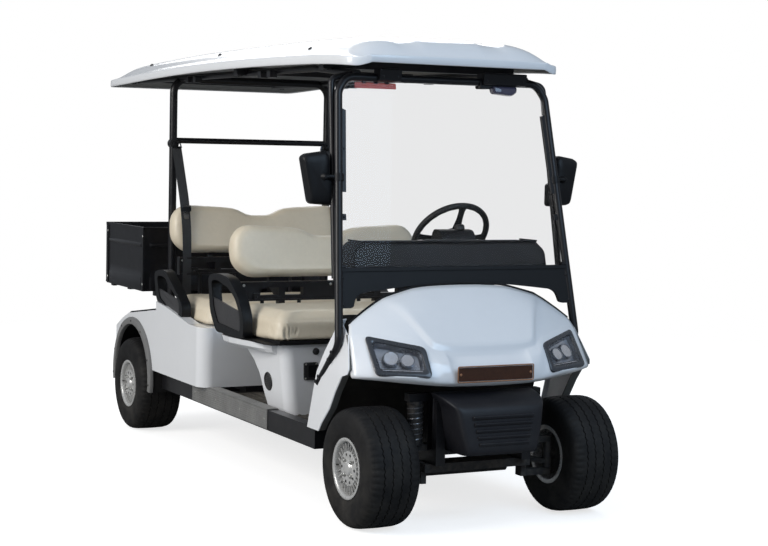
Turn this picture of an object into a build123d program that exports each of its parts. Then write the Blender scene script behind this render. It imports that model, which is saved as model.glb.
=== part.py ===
"""Four-seat electric golf cart with a canopy, folding-tailgate cargo box and steered front wheels.

Frame: millimetres, +Z up, origin on the ground at the centre of the cart's outline.
The front faces -Y and the cart's left side, with the steering wheel, is +X.
"""
from build123d import *
import os
from math import cos, radians, sin

os.makedirs("parts", exist_ok=True)

# ---- driving dimensions ------------------------------------------------------------
FRONT_AXLE_Y = -1390
WHEELBASE = 2420
REAR_AXLE_Y = FRONT_AXLE_Y + WHEELBASE
FRONT_TRACK = 882
REAR_TRACK = 962

TYRE_RADIUS = 228.5
TYRE_WIDTH = 216
BEAD_RADIUS = 104
RIM_LIP_RADIUS = 116
AXLE_Z = TYRE_RADIUS
SPINDLE_RADIUS = 16
RUNNING_GAP = 0.05

KINGPIN_X = 345
KINGPIN_RADIUS = 12
TIE_ROD_Y = FRONT_AXLE_Y + 100
TIE_ROD_Z = 178
TIE_ROD_RADIUS = 8

RAIL_X = (170, 210)
RAIL_Z = (232, 290)
FRAME_FRONT_Y = -1480
SILL_X = (470, 520)
SILL_Z = (245, 330)
SILL_Y = (-1060, 700)
FLOOR_Z = (290, 300)
FLOOR_HALF_WIDTH = 470
TOE_SHOULDER_Z = 780

SEAT_PITCH = 780
BACKREST_RISE = 58
SEAT_TOP_Z = (734, 722)
CUSHION_UNDER_Z = 598
CUSHION_HALF_WIDTH = 500
CUSHION_FRONT_Y = -610
CUSHION_DEPTH = 520
BACKREST_Y = 3
BACKREST_LEAN = 10
BACKREST_HALF_WIDTH = 465
BACKREST_HEIGHT = 247
BACKREST_THICKNESS = 110
BACKREST_MIDDLE_Z = 948

# The windscreen's plane leans back, and its posts draw together, per mm of height.
SCREEN_LEAN = 0.193
SCREEN_TAPER = 0.062
SCREEN_REFERENCE = (513, -1243, 900)
SCREEN_HINGE_Z = 967
SCREEN_TOP_Z = 1697
SCREEN_TUBE_RADIUS = 16

HOOP_X = 415
HOOP_Y = 880
HOOP_TUBE_RADIUS = 19
HOOP_TOP_Z = 1741
HOOP_BAR_Z = 1440

STEERING_WHEEL_CENTRE = (232, -760, 1062)
STEERING_COLUMN_ANGLE = 38
STEERING_WHEEL_RADIUS = 165

CARGO_X = 508
CARGO_Y = (1040, 1636)
CARGO_Z = (685, 1005)
CARGO_WALL = 6
TAILGATE_THICKNESS = 14
TAILGATE_GAP = 5
HINGE_BARREL_RADIUS = 9
HINGE_PIN_RADIUS = 5

ARCH_CENTRE = (1015, 274)
ARCH_RADIUS = 286

ROOF_Y = (-1230, 1612)
ROOF_FRONT_HALF_WIDTH = 475
ROOF_REAR_HALF_WIDTH = 520


# ---- shared shapes -----------------------------------------------------------------
def slab(x, y, z):
    """A box between the low and high value given for each axis."""
    box = Box(x[1] - x[0], y[1] - y[0], z[1] - z[0], align=(Align.MIN, Align.MIN, Align.MIN))
    return Pos(x[0], y[0], z[0]) * box


def side_prism(outline, x_low, x_high):
    """A closed (y, z) outline, drawn across the cart between two x planes."""
    face = make_face(Polyline(*[(x_low, y, z) for y, z in outline], close=True))
    return extrude(face, amount=x_high - x_low, dir=(1, 0, 0))


def front_prism(outline, y_low, y_high):
    """A closed (x, z) outline, drawn lengthwise between two y planes."""
    face = make_face(Polyline(*[(x, y_low, z) for x, z in outline], close=True))
    return extrude(face, amount=y_high - y_low, dir=(0, 1, 0))


def plan_prism(outline, z_low, z_high):
    """A closed (x, y) outline, drawn upwards between two heights."""
    face = make_face(Polyline(*[(x, y, z_low) for x, y in outline], close=True))
    return extrude(face, amount=z_high - z_low, dir=(0, 0, 1))


def rod(start, end, radius):
    """A round bar between two points."""
    line = Vector(*end) - Vector(*start)
    plane = Plane(origin=Vector(*start), z_dir=line)
    return extrude(plane * Circle(radius), amount=line.length)


def tube(points, bend, radius):
    """A bent round tube through the points, with the given bend radius at each corner."""
    path = FilletPolyline(*points, radius=bend)
    return sweep(Plane(origin=path @ 0, z_dir=path % 0) * Circle(radius), path=path)


def both_sides(shape):
    """The shape with its mirror image across the cart."""
    return shape + mirror(shape, about=Plane.YZ)


def mirrored_points(points):
    """The points followed by their mirror images in reverse order."""
    return points + [(-p[0], *p[1:]) for p in reversed(points)]


# ---- wheels ------------------------------------------------------------------------
def wheel_revolve(profile, centre, side):
    """A ring turned about a wheel's axle from (outboard distance, radius) points."""
    face = make_face(Polyline(*[(side * out, radius, 0) for out, radius in profile], close=True))
    return Pos(*centre) * revolve(face, Axis.X)


def tyre(centre, side):
    half = TYRE_WIDTH / 2
    bead = RIM_LIP_RADIUS
    profile = [
        (-half + 10, BEAD_RADIUS), (half - 10, BEAD_RADIUS), (half - 10, bead), (half - 3, bead + 20),
        (half, 170), (half - 2, 200), (half - 12, 218), (half - 30, TYRE_RADIUS),
        (-half + 30, TYRE_RADIUS), (-half + 12, 218), (-half + 2, 200), (-half, 170),
        (-half + 3, bead + 20), (-half + 10, bead),
    ]
    return wheel_revolve(profile, centre, side)


def rim(centre, side):
    lip = TYRE_WIDTH / 2 - 10
    well = BEAD_RADIUS - 8
    bore = SPINDLE_RADIUS
    profile = [
        (30, bore), (30, 38), (55, 38), (55, well), (-lip - 6, well), (-lip - 6, RIM_LIP_RADIUS),
        (-lip, RIM_LIP_RADIUS), (-lip, BEAD_RADIUS), (lip, BEAD_RADIUS), (lip, RIM_LIP_RADIUS),
        (lip + 6, RIM_LIP_RADIUS), (lip + 6, well + 4), (lip - 8, well), (lip - 14, 60), (lip - 6, 34),
        (lip - 4, 0), (84, 0), (84, bore),
    ]
    return wheel_revolve(profile, centre, side)


# ---- running gear ------------------------------------------------------------------
def chassis_frame():
    rail = side_prism(
        [(FRAME_FRONT_Y, RAIL_Z[0]), (560, RAIL_Z[0]), (660, 345), (1560, 345), (1560, 400), (640, 400),
         (545, RAIL_Z[1]), (FRAME_FRONT_Y, RAIL_Z[1])],
        *RAIL_X,
    )
    rails = both_sides(rail)
    for y in (-1060, -620, 20, 480):
        rails += slab((-RAIL_X[0], RAIL_X[0]), (y, y + 50), (236, 284))
    for y in (1120, 1510):
        rails += slab((-RAIL_X[0], RAIL_X[0]), (y, y + 40), (350, 395))
    for y in (-1050, -400, 60, 480):
        rails += both_sides(slab((RAIL_X[1], SILL_X[0]), (y, y + 45), (248, 284)))
    tower = slab(RAIL_X, (FRONT_AXLE_Y - 20, FRONT_AXLE_Y + 20), (RAIL_Z[1], 500))
    rails += both_sides(tower)
    rails += both_sides(slab(RAIL_X, (FRAME_FRONT_Y, FRAME_FRONT_Y + 35), (RAIL_Z[1], 480)))
    rails += slab((-292, 292), (FRONT_AXLE_Y - 20, FRONT_AXLE_Y + 20), (470, 500))
    return rails


def cargo_stand():
    stand = both_sides(slab(RAIL_X, (CARGO_Y[0] + 10, CARGO_Y[1] - 40), (655, CARGO_Z[0])))
    for y in (1100, 1500):
        stand += both_sides(slab(RAIL_X, (y, y + 40), (400, 655)))
        stand += slab((-420, 420), (y, y + 40), (655, CARGO_Z[0]))
    return stand


def front_suspension():
    y_mid = FRONT_AXLE_Y
    body = slab((-234, 234), (y_mid - 50, y_mid + 50), (200, RAIL_Z[0]))
    side = slab((212, 234), (y_mid - 22, y_mid + 22), (152, 200))
    for low, high in ((152, 176), (280, 304)):
        inner = 212 if low < RAIL_Z[0] else RAIL_X[1]
        side += slab((inner, KINGPIN_X), (y_mid - 18, y_mid + 18), (low, high))
        side += Pos(KINGPIN_X, y_mid, (low + high) / 2) * Cylinder(18, high - low)
    side += Pos(255, y_mid, (304 + 470) / 2) * Cylinder(30, 470 - 304)
    side -= Pos(KINGPIN_X, y_mid, AXLE_Z) * Cylinder(KINGPIN_RADIUS, 200)
    return body + both_sides(side)


def steering_rack():
    housing = Pos(0, TIE_ROD_Y, TIE_ROD_Z) * Rot(0, 90, 0) * Cylinder(22, 2 * 208)
    housing += both_sides(slab((172, 208), (TIE_ROD_Y - 14, TIE_ROD_Y + 14), (TIE_ROD_Z + 10, RAIL_Z[0])))
    return housing - Pos(0, TIE_ROD_Y, TIE_ROD_Z) * Rot(0, 90, 0) * Cylinder(TIE_ROD_RADIUS + RUNNING_GAP, 500)


def tie_rod():
    eye_x = KINGPIN_X - 45
    bar = Pos(0, TIE_ROD_Y, TIE_ROD_Z) * Rot(0, 90, 0) * Cylinder(TIE_ROD_RADIUS, 2 * eye_x)
    return bar + both_sides(Pos(eye_x, TIE_ROD_Y, TIE_ROD_Z) * Cylinder(14, 20))


def knuckle(side):
    x, y, z = KINGPIN_X, FRONT_AXLE_Y, AXLE_Z
    shape = Pos(x, y, z) * Cylinder(20, 102)
    shape += Pos(x, y, z) * Cylinder(KINGPIN_RADIUS - RUNNING_GAP, 152)
    shape += rod((x, y, z), (FRONT_TRACK / 2 + 80, y, z), SPINDLE_RADIUS - RUNNING_GAP)
    shape += rod((x + 28, y, z), (x + 58, y, z), 72)
    arm = [(x, y - 16), (x, y + 14), (x - 24, y + 30), (x - 30, y + 112), (x - 60, y + 112), (x - 60, y + 25),
           (x - 26, y - 10)]
    shape += plan_prism(arm, 197, 212)
    return shape if side > 0 else mirror(shape, about=Plane.YZ)


def rear_axle():
    y, z = REAR_AXLE_Y, AXLE_Z
    axle = rod((-395, y, z), (395, y, z), 35)
    axle += rod((-430, y, z), (-395, y, z), 75)
    axle += rod((395, y, z), (430, y, z), 75)
    reach = REAR_TRACK / 2 + 80
    axle += rod((-reach, y, z), (reach, y, z), SPINDLE_RADIUS - RUNNING_GAP)
    axle += rod((-70, y, z), (60, y, z), 88)
    axle += rod((0, y - 300, z), (0, y - 40, z), 92)
    axle += both_sides(slab((172, 208), (y - 35, y + 35), (z - 10, z + 35)))
    return axle


def rear_springs():
    y, pad = REAR_AXLE_Y, AXLE_Z + 35
    leaf = side_prism(
        [(y - 320, 311), (y - 60, pad), (y + 60, pad), (y + 320, 311), (y + 320, 323), (y + 60, pad + 14),
         (y - 60, pad + 14), (y - 320, 323)],
        175, 205,
    )
    for end in (y - 320, y + 296):
        leaf += slab((175, 205), (end, end + 24), (311, 345))
    return both_sides(leaf)


def battery_pack():
    return slab((-300, 300), (180, 520), (RAIL_Z[1], 520))


# ---- floor and sills ---------------------------------------------------------------
def floor_pan():
    toe = [(90, FLOOR_Z[0]), (90, FLOOR_Z[1]), (-995, FLOOR_Z[1]), (-1072, 474), (-1182, 900),
           (-1192, 897), (-1082, 470), (-1003, FLOOR_Z[0])]
    floor = side_prism(toe, -FLOOR_HALF_WIDTH, FLOOR_HALF_WIDTH)
    return floor - both_sides(slab((200, 500), (-1300, -1000), (TOE_SHOULDER_Z, 950)))


def sills():
    return both_sides(slab(SILL_X, SILL_Y, SILL_Z))


def step_plates():
    face = slab((SILL_X[1], SILL_X[1] + 4), (-590, 285), (SILL_Z[0] + 5, SILL_Z[1]))
    tread = slab((SILL_X[0], SILL_X[1] + 4), (-590, 84), (SILL_Z[1], SILL_Z[1] + 4))
    return both_sides(face + tread)


# ---- front body --------------------------------------------------------------------
# Each station is half the hood's width there, then (y, z) from the lip under the nose to the cowl.
HOOD_STATIONS = [
    (0, [(-1520, 535), (-1548, 556), (-1545, 612), (-1475, 666), (-1345, 808), (-1252, 905)]),
    (215, [(-1500, 540), (-1535, 560), (-1528, 616), (-1470, 674), (-1345, 800), (-1252, 893)]),
    (300, [(-1480, 556), (-1520, 578), (-1512, 622), (-1452, 690), (-1345, 790), (-1254, 868)]),
    (443, [(-1430, 572), (-1468, 586), (-1455, 632), (-1372, 712), (-1312, 764), (-1262, 800)]),
    (500, [(-1390, 575), (-1422, 590), (-1410, 640), (-1336, 700), (-1300, 735), (-1272, 762)]),
    (545, [(-1340, 577), (-1360, 590), (-1352, 640), (-1310, 680), (-1292, 700), (-1278, 716)]),
]
HOOD_WALL = 10
HOOD_BACK_Y = -1236
HOOD_UNDER_Z = 577
LEG_SHIELD_X = (510, 545)


def hood_section(x, points, inset):
    """One lengthwise slice of the hood, or of the hollow under it."""
    (y0, z0), (y1, z1), (y2, z2), (y3, z3), (y4, z4), (y5, z5) = points
    outline = [(y1 + inset, z1), (y2 + inset, z2), (y3 + inset, z3 - inset), (y4 + inset, z4 - inset), (y5, z5 - inset)]
    if inset:
        outline = [(y1 + inset, 400)] + outline[1:] + [(HOOD_BACK_Y + 40, z5 - inset), (HOOD_BACK_Y + 40, 400)]
    else:
        outline = [(y0, z0)] + outline + [(HOOD_BACK_Y, z5), (HOOD_BACK_Y, HOOD_UNDER_Z)]
    return make_face(Polyline(*[(x, y, z) for y, z in outline], close=True))


def hood_half(inset):
    stations = HOOD_STATIONS
    if inset:
        stations = stations[:-1] + [(HOOD_STATIONS[-1][0] - inset, HOOD_STATIONS[-1][1])]
    return loft([hood_section(x, points, inset) for x, points in stations], ruled=True)


def front_cowl():
    """Hood shell with the slanted leg shield that runs down each side to the sill."""
    hood = both_sides(hood_half(0)) - both_sides(hood_half(HOOD_WALL))
    leg = [
        (-1345, 600), (-1345, 578), (-1330, 575), (-1232, 430), (-1140, 350), (-1125, SILL_Z[1]),
        (-1040, SILL_Z[1]), (-1095, 503), (-1153, 647), (-1236, 800), (-1270, 716), (-1300, 690),
    ]
    return hood + both_sides(side_prism(leg, *LEG_SHIELD_X))


def headlights():
    """A wedge with its bezel flush with the hood on each side of the nose."""
    inner = [(-1543, 577), (-1468, 681), (-1380, 681), (-1430, 577)]
    outer = [(-1468, 585), (-1355, 720), (-1300, 720), (-1340, 585)]
    sections = [
        make_face(Polyline(*[(x, y, z) for y, z in outline], close=True)) for x, outline in ((262, inner), (461, outer))
    ]
    return both_sides(loft(sections, ruled=True))


def front_bumper():
    outline = [
        (-1485, 509), (-1560, 500), (-1613, 463), (-1636, 303), (-1620, 286), (-1560, 300), (-1440, 340), (-1440, 509),
    ]
    return side_prism(outline, -217, 217)


def number_plate():
    return slab((-165, 165), (-1556, -1546), (557, 616))


def dashboard():
    outline = [(-1197, 1062), (-1030, 1062), (-1000, 1030), (-1000, 930), (-1120, 905), (-1229, 905)]
    return side_prism(outline, -430, 430)


def column_direction():
    angle = radians(STEERING_COLUMN_ANGLE)
    return Vector(0, cos(angle), sin(angle))


def steering_column():
    centre = Vector(*STEERING_WHEEL_CENTRE)
    axis = column_direction()
    top = centre - axis * 45
    foot = centre - axis * 470
    pod = centre - axis * 190
    shape = rod(tuple(foot), tuple(top), 28) + rod(tuple(pod), tuple(top), 48)
    return shape - rod(tuple(centre - axis * 130), tuple(centre), 10)


def steering_wheel():
    centre = Vector(*STEERING_WHEEL_CENTRE)
    axis = column_direction()
    plane = Plane(origin=centre, x_dir=(1, 0, 0), z_dir=axis)
    rim_ring = plane * Torus(STEERING_WHEEL_RADIUS, 13)
    wheel = rim_ring + rod(tuple(centre - axis * 38), tuple(centre + axis * 4), 46)
    for turn in (0, 90, 180):
        spoke = Pos(STEERING_WHEEL_RADIUS / 2, 0, -8) * Box(STEERING_WHEEL_RADIUS, 34, 12)
        wheel += plane * (Rot(0, 0, turn) * spoke)
    return wheel + rod(tuple(centre - axis * 120), tuple(centre - axis * 30), 10 - RUNNING_GAP)


def pedals():
    """Brake and accelerator: a pad on a stalk that hangs from the toe board."""
    shape = None
    for x, width in ((150, 70), (290, 55)):
        pad = side_prism([(-1010, 400), (-1000, 404), (-1030, 480), (-1040, 476)], x - width / 2, x + width / 2)
        stalk = side_prism([(-1030, 460), (-1036, 476), (-1100, 520), (-1086, 500)], x - 8, x + 8)
        shape = pad + stalk if shape is None else shape + pad + stalk
    return shape


# ---- windscreen --------------------------------------------------------------------
def screen_x(z):
    return SCREEN_REFERENCE[0] - SCREEN_TAPER * (z - SCREEN_REFERENCE[2])


def screen_y(z):
    return SCREEN_REFERENCE[1] + SCREEN_LEAN * (z - SCREEN_REFERENCE[2])


def screen_point(z):
    return (screen_x(z), screen_y(z), z)


def windshield_frame():
    side = [(534, -1120, 515), (531, -1284, 680), screen_point(1640), (430, screen_y(SCREEN_TOP_Z), SCREEN_TOP_Z)]
    return tube(mirrored_points(side), 60, SCREEN_TUBE_RADIUS)


def screen_plate(outline, front, back):
    """A plate in the windscreen's leaning plane from half its (x, z) outline."""
    full = mirrored_points(outline)
    face = make_face(Polyline(*[(x, screen_y(z) + front, z) for x, z in full], close=True))
    return extrude(face, amount=back - front, dir=(0, 1, 0))


def windshield_glass():
    outline = [(screen_x(SCREEN_HINGE_Z), SCREEN_HINGE_Z), (screen_x(1640), 1640), (430, SCREEN_TOP_Z - 6)]
    return screen_plate(outline, -3, 3)


def windshield_lower_panel():
    outline = [
        (200, 900), (430, 873), (452, 860), (464, 820), (screen_x(820), 820),
        (screen_x(SCREEN_HINGE_Z), SCREEN_HINGE_Z),
    ]
    return screen_plate(outline, -6, 14)


# ---- canopy ------------------------------------------------------------------------
def roof():
    front, rear = ROOF_Y
    plan = plan_prism(
        mirrored_points([(ROOF_REAR_HALF_WIDTH - 60, rear), (ROOF_REAR_HALF_WIDTH, rear - 50),
                         (ROOF_FRONT_HALF_WIDTH, -1150), (400, front + 10), (200, front)]),
        1600, 1900,
    )
    top = [(rear, 1709), (rear, 1762), (1560, 1790), (1397, 1833), (600, 1862), (-400, 1870), (-1050, 1868),
           (-1180, 1800), (front, 1748), (-1211, 1733), (-958, 1747), (-131, 1755), (643, 1744)]
    side = side_prism(top, -600, 600)
    cross = front_prism(mirrored_points([(525, 1690), (525, 1762), (455, 1822), (400, 1858), (200, 1872)]), -1300, 1700)
    hollow_top = [(rear - 30, 1600), (rear - 30, 1740), (1397, 1808), (600, 1837), (-400, 1845), (-1050, 1843),
                  (-1160, 1790), (front + 30, 1740), (front + 30, 1600)]
    hollow_cross = front_prism(mirrored_points([(440, 1600), (440, 1782), (392, 1822), (200, 1846)]), -1300, 1700)
    return (plan & side & cross) - (side_prism(hollow_top, -500, 500) & hollow_cross)


RAIL_TUBE_X = 380
RAIL_FRONT_Z = 1712
RAIL_TUBE_Z = 1744
CANOPY_SLAT_Z = (1738, 1770)
FRONT_POST = [(507, -1187, 925), (480, -1062, 1690), (RAIL_TUBE_X, -1055, RAIL_FRONT_Z)]
FRONT_POST_RADIUS = 13


def canopy_frame():
    """Rear hoop with its cross bar, and the side rails under the roof."""
    half = [(HOOP_X, HOOP_Y, 640), (HOOP_X, HOOP_Y, HOOP_TOP_Z)]
    frame = tube(mirrored_points(half), 70, HOOP_TUBE_RADIUS)
    frame += rod((-HOOP_X, HOOP_Y, HOOP_BAR_Z), (HOOP_X, HOOP_Y, HOOP_BAR_Z), 14)
    rail = [(screen_y(SCREEN_TOP_Z), RAIL_FRONT_Z), (-700, RAIL_TUBE_Z), (1500, RAIL_TUBE_Z)]
    frame += both_sides(tube([(RAIL_TUBE_X, y, z) for y, z in rail], 250, 15))
    for y in (-900, 0, 1450):
        frame += slab((-440, 440), (y, y + 40), CANOPY_SLAT_Z)
    return frame


def canopy_posts():
    """A post behind each side of the windscreen, from a bracket on its tube up to the roof rail."""
    foot_x, foot_y, foot_z = FRONT_POST[0]
    bracket_z = foot_z + 8
    bracket = rod((foot_x, foot_y, bracket_z), (screen_x(bracket_z), screen_y(bracket_z), bracket_z), 7)
    return both_sides(tube(FRONT_POST, 30, FRONT_POST_RADIUS) + bracket)


# ---- seats -------------------------------------------------------------------------
def seat_cushion(row):
    y = CUSHION_FRONT_Y + row * SEAT_PITCH
    half = CUSHION_HALF_WIDTH
    block = slab((-half, half), (y, y + CUSHION_DEPTH), (CUSHION_UNDER_Z, SEAT_TOP_Z[row]))
    return fillet(block.edges().filter_by(Axis.Z), 45)


def backrest(row):
    """A padded back with a shallow dip in the middle of its top edge."""
    half, low, high = BACKREST_HALF_WIDTH, -BACKREST_HEIGHT / 2, BACKREST_HEIGHT / 2
    outline = mirrored_points([
        (half - 60, low), (half, low + 60), (half, high - 48), (half - 48, high), (150, high), (70, high - 40),
    ])
    block = front_prism(outline, -BACKREST_THICKNESS / 2, BACKREST_THICKNESS / 2)
    place = Pos(0, BACKREST_Y + row * SEAT_PITCH, BACKREST_MIDDLE_Z + row * BACKREST_RISE)
    return place * Rot(-BACKREST_LEAN, 0, 0) * block


def seat_frames():
    """Per row: a slotted beam under the backrest, on two uprights behind the cushion."""
    frames = None
    for row in (0, 1):
        y = CUSHION_FRONT_Y + row * SEAT_PITCH + CUSHION_DEPTH + 12
        rise = row * BACKREST_RISE
        beam = slab((-440, 440), (y, y + 34), (735 + rise, 820 + rise))
        for x in (-300, -180, 180, 300):
            beam -= slab((x - 45, x + 45), (y - 5, y + 40), (760 + rise, 795 + rise))
        beam += both_sides(slab((225, 255), (y, y + 34), (CUSHION_UNDER_Z, 750 + rise)))
        hook = [(y + 34, 740), (y + 34, 820), (y + 112, 812), (y + 141, 990), (y + 156, 990), (y + 130, 795)]
        beam += both_sides(side_prism([(hook_y, z + rise) for hook_y, z in hook], 225, 255))
        frames = beam if frames is None else frames + beam
    return frames


HIP_LOOPS = [
    [(-389, 598), (-371, 745), (-280, 816), (-168, 862), (-10, 852), (40, 830), (20, 680), (-70, 598)],
    [(352, 600), (354, 682), (487, 762), (588, 828), (758, 810), (720, 672), (578, 600)],
]
HIP_INFILL_SHARE = 0.45


def hip_restraints():
    """A bent tube loop with a filled foot at each end of each seat."""
    loops = None
    for outline in HIP_LOOPS:
        top = max(z for _, z in outline)
        low = min(z for _, z in outline)
        middle_y = sum(y for y, _ in outline) / len(outline)
        middle_z = sum(z for _, z in outline) / len(outline)
        hole = [(middle_y + 0.78 * (y - middle_y), middle_z + 0.72 * (z - middle_z)) for y, z in outline]
        plate = side_prism(outline, 506, 534)
        cut = side_prism(hole, 500, 540) & slab((500, 540), (-2000, 2000), (low + HIP_INFILL_SHARE * (top - low), 2000))
        loops = plate - cut if loops is None else loops + (plate - cut)
    return both_sides(loops)


# ---- seat bases and rear body ------------------------------------------------------
def flared_block(low_half, high_half, front, rear, z_low, z_high, corner):
    """A block with rounded front corners whose sides lean outwards from one height to the other."""
    ends = []
    for half, face_y, z in ((low_half, front[0], z_low), (high_half, front[1], z_high)):
        corners = [(-half, face_y, z), (half, face_y, z), (half, rear, z), (-half, rear, z)]
        face = make_face(Polyline(*corners, close=True))
        ends.append(fillet(face.vertices().sort_by(Axis.Y)[:2], corner))
    return loft(ends, ruled=True)


def inset_line(outline, amount):
    """The open (y, z) line moved forwards, for the inside of a wall that faces the rear."""
    return [(y - amount, z) for y, z in outline]


SEAT_BASE_FRONT_Y = (-600, -592)
SEAT_BASE_REAR_Y = -64
SEAT_BASE_HALF_WIDTH = (430, 458)
SEAT_BASE_CORNER = 48
SEAT_BASE_WALL = 10
SEAT_BASE_HEEL = [(-190, 545), (-268, 500), (-320, 447), (-357, 365), (-386, 320), (-400, 299)]
SEAT_WING = [(478, -522), (505, -490), (528, -410), (548, -300), (556, -230), (552, -150), (528, -90)]
SEAT_WING_STATIONS = [(552, 0.25), (560, 0.7), (574, 0.94), (CUSHION_UNDER_Z, 1.0)]


def seat_wing():
    """The ledge under the hip loop, rounded underneath, that stands out from the side of the seat base."""
    levels = []
    for z, share in SEAT_WING_STATIONS:
        edge = [(450 + share * (x - 450), y, z) for x, y in SEAT_WING]
        levels.append(make_face(Polyline((440, -530, z), *edge, (440, -66, z), close=True)))
    return loft(levels, ruled=True)


def front_seat_base():
    """A hollow pedestal, open underneath, that leans to a heel and widens into a ledge at the cushion."""
    floor, top = FLOOR_Z[1], CUSHION_UNDER_Z
    wall = SEAT_BASE_WALL
    low_half, high_half = SEAT_BASE_HALF_WIDTH
    front, rear = SEAT_BASE_FRONT_Y, SEAT_BASE_REAR_Y
    block = flared_block(low_half, high_half, front, rear, floor, top, SEAT_BASE_CORNER)
    under = [(SEAT_BASE_REAR_Y + 1, floor - 1), (SEAT_BASE_REAR_Y + 1, 556), *SEAT_BASE_HEEL]
    outer = block - side_prism(under, -600, 600)
    inner_front = (front[0] + wall, front[1] + wall)
    inner_corner = SEAT_BASE_CORNER - wall
    inner_half = (low_half - wall, high_half - wall)
    room = flared_block(*inner_half, inner_front, rear - wall, floor - 1, top - wall, inner_corner)
    inner_under = [(rear, floor - 2), (rear, 566), *inset_line(SEAT_BASE_HEEL, 12)]
    inner_under[-1] = (inner_under[-1][0], floor - 2)
    return outer - (room - side_prism(inner_under, -600, 600)) + both_sides(seat_wing())


REAR_BODY_X = 560
REAR_BODY_CORNER = 60
REAR_BODY_WALL = 10


def rear_body():
    """Seat base, fenders and tail in one hollow moulding, open underneath, with a well for the cushion."""
    low = SILL_Z[1]
    outer = [(90, low), (90, 600), (250, 605), (560, 655), (690, 668), (690, 627), (1095, 575), (1190, 541),
             (1290, 494), (1290, low)]
    inner = [(100, low - 1), (100, 588), (250, 593), (560, 643), (678, 656), (678, 617), (1093, 564),
             (1186, 531), (1280, 487), (1280, low - 1)]
    corner, wall, half = REAR_BODY_CORNER, REAR_BODY_WALL, REAR_BODY_X
    shell = side_prism(outer, -half, half)
    front_edges = shell.edges().filter_by(Axis.Z).group_by(Axis.Y)[0]
    shell = fillet(front_edges, corner)
    room = side_prism(inner, wall - half, half - wall)
    room = fillet(room.edges().filter_by(Axis.Z).group_by(Axis.Y)[0], corner - wall)
    well = slab((-506, 506), (128, 742), (CUSHION_UNDER_Z, 720))
    well_walls = slab((-516, 516), (116, 752), (CUSHION_UNDER_Z - 10, 720))
    body = shell - well - (room - well_walls)
    arch = Pos(0, *ARCH_CENTRE) * Rot(0, 90, 0) * Cylinder(ARCH_RADIUS, 2 * 600)
    return body - (arch & both_sides(slab((360, 600), (0, 1400), (0, 700))))


def arch_trims():
    """Flared trim round each rear wheel opening."""
    ring = Rot(0, 90, 0) * (Cylinder(ARCH_RADIUS, 40) - Cylinder(ARCH_RADIUS - 34, 50))
    ring = Pos(560, *ARCH_CENTRE) * ring
    return both_sides(ring & slab((500, 600), (0, 1400), (300, 700)))


def tail_lights():
    return both_sides(slab((440, 530), (1290, 1304), (400, 480)))


def seat_belts():
    """Strap from the rear hoop, down over the rear backrest, to the shelf behind the cushion."""
    run = [(842, 1415), (743, 1148), (696, 905), (693, 700), (693, CUSHION_UNDER_Z)]
    strap = run + [(y + 3, z) for y, z in reversed(run)]
    return both_sides(side_prism(strap, 380, 426))


def mirrors():
    outline = [(626, 1384), (608, 1399), (526, 1411), (511, 1392), (516, 1200), (592, 1206)]
    housing = front_prism(outline, -1140, -1090)
    arm = rod((screen_x(1310), screen_y(1310), 1310), (540, -1115, 1310), 9)
    return both_sides(housing + arm)


# ---- cargo box ---------------------------------------------------------------------
def hinge_line():
    return CARGO_Y[1] - HINGE_BARREL_RADIUS, CARGO_Z[0] - HINGE_BARREL_RADIUS


def cargo_box():
    """Open tray with a floor, front and side walls, and lugs that hold the tailgate's pin."""
    y0, y1 = CARGO_Y
    z0, z1 = CARGO_Z
    back = y1 - TAILGATE_THICKNESS - TAILGATE_GAP
    outer = slab((-CARGO_X, CARGO_X), (y0, back), (z0, z1))
    inner = slab((-CARGO_X + CARGO_WALL, CARGO_X - CARGO_WALL), (y0 + CARGO_WALL, back + 50), (z0 + CARGO_WALL, z1 + 50))
    hinge_y, hinge_z = hinge_line()
    box = outer - inner
    box += both_sides(slab((460, 480), (back - 40, y1), (z0 - 2 * HINGE_BARREL_RADIUS, z0)))
    return box + rod((-480, hinge_y, hinge_z), (480, hinge_y, hinge_z), HINGE_PIN_RADIUS)


def tailgate():
    """Drop-down rear wall with three hinge barrels along its foot."""
    y1 = CARGO_Y[1]
    hinge_y, hinge_z = hinge_line()
    gate = slab((-CARGO_X, CARGO_X), (y1 - TAILGATE_THICKNESS, y1), (CARGO_Z[0] + 4, CARGO_Z[1]))
    for x in (-425, 0, 425):
        gate += rod((x - 30, hinge_y, hinge_z), (x + 30, hinge_y, hinge_z), HINGE_BARREL_RADIUS)
        gate += slab((x - 30, x + 30), (y1 - TAILGATE_THICKNESS, y1), (hinge_z, CARGO_Z[0] + 6))
    return gate - rod((-500, hinge_y, hinge_z), (500, hinge_y, hinge_z), HINGE_PIN_RADIUS + RUNNING_GAP)


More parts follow.
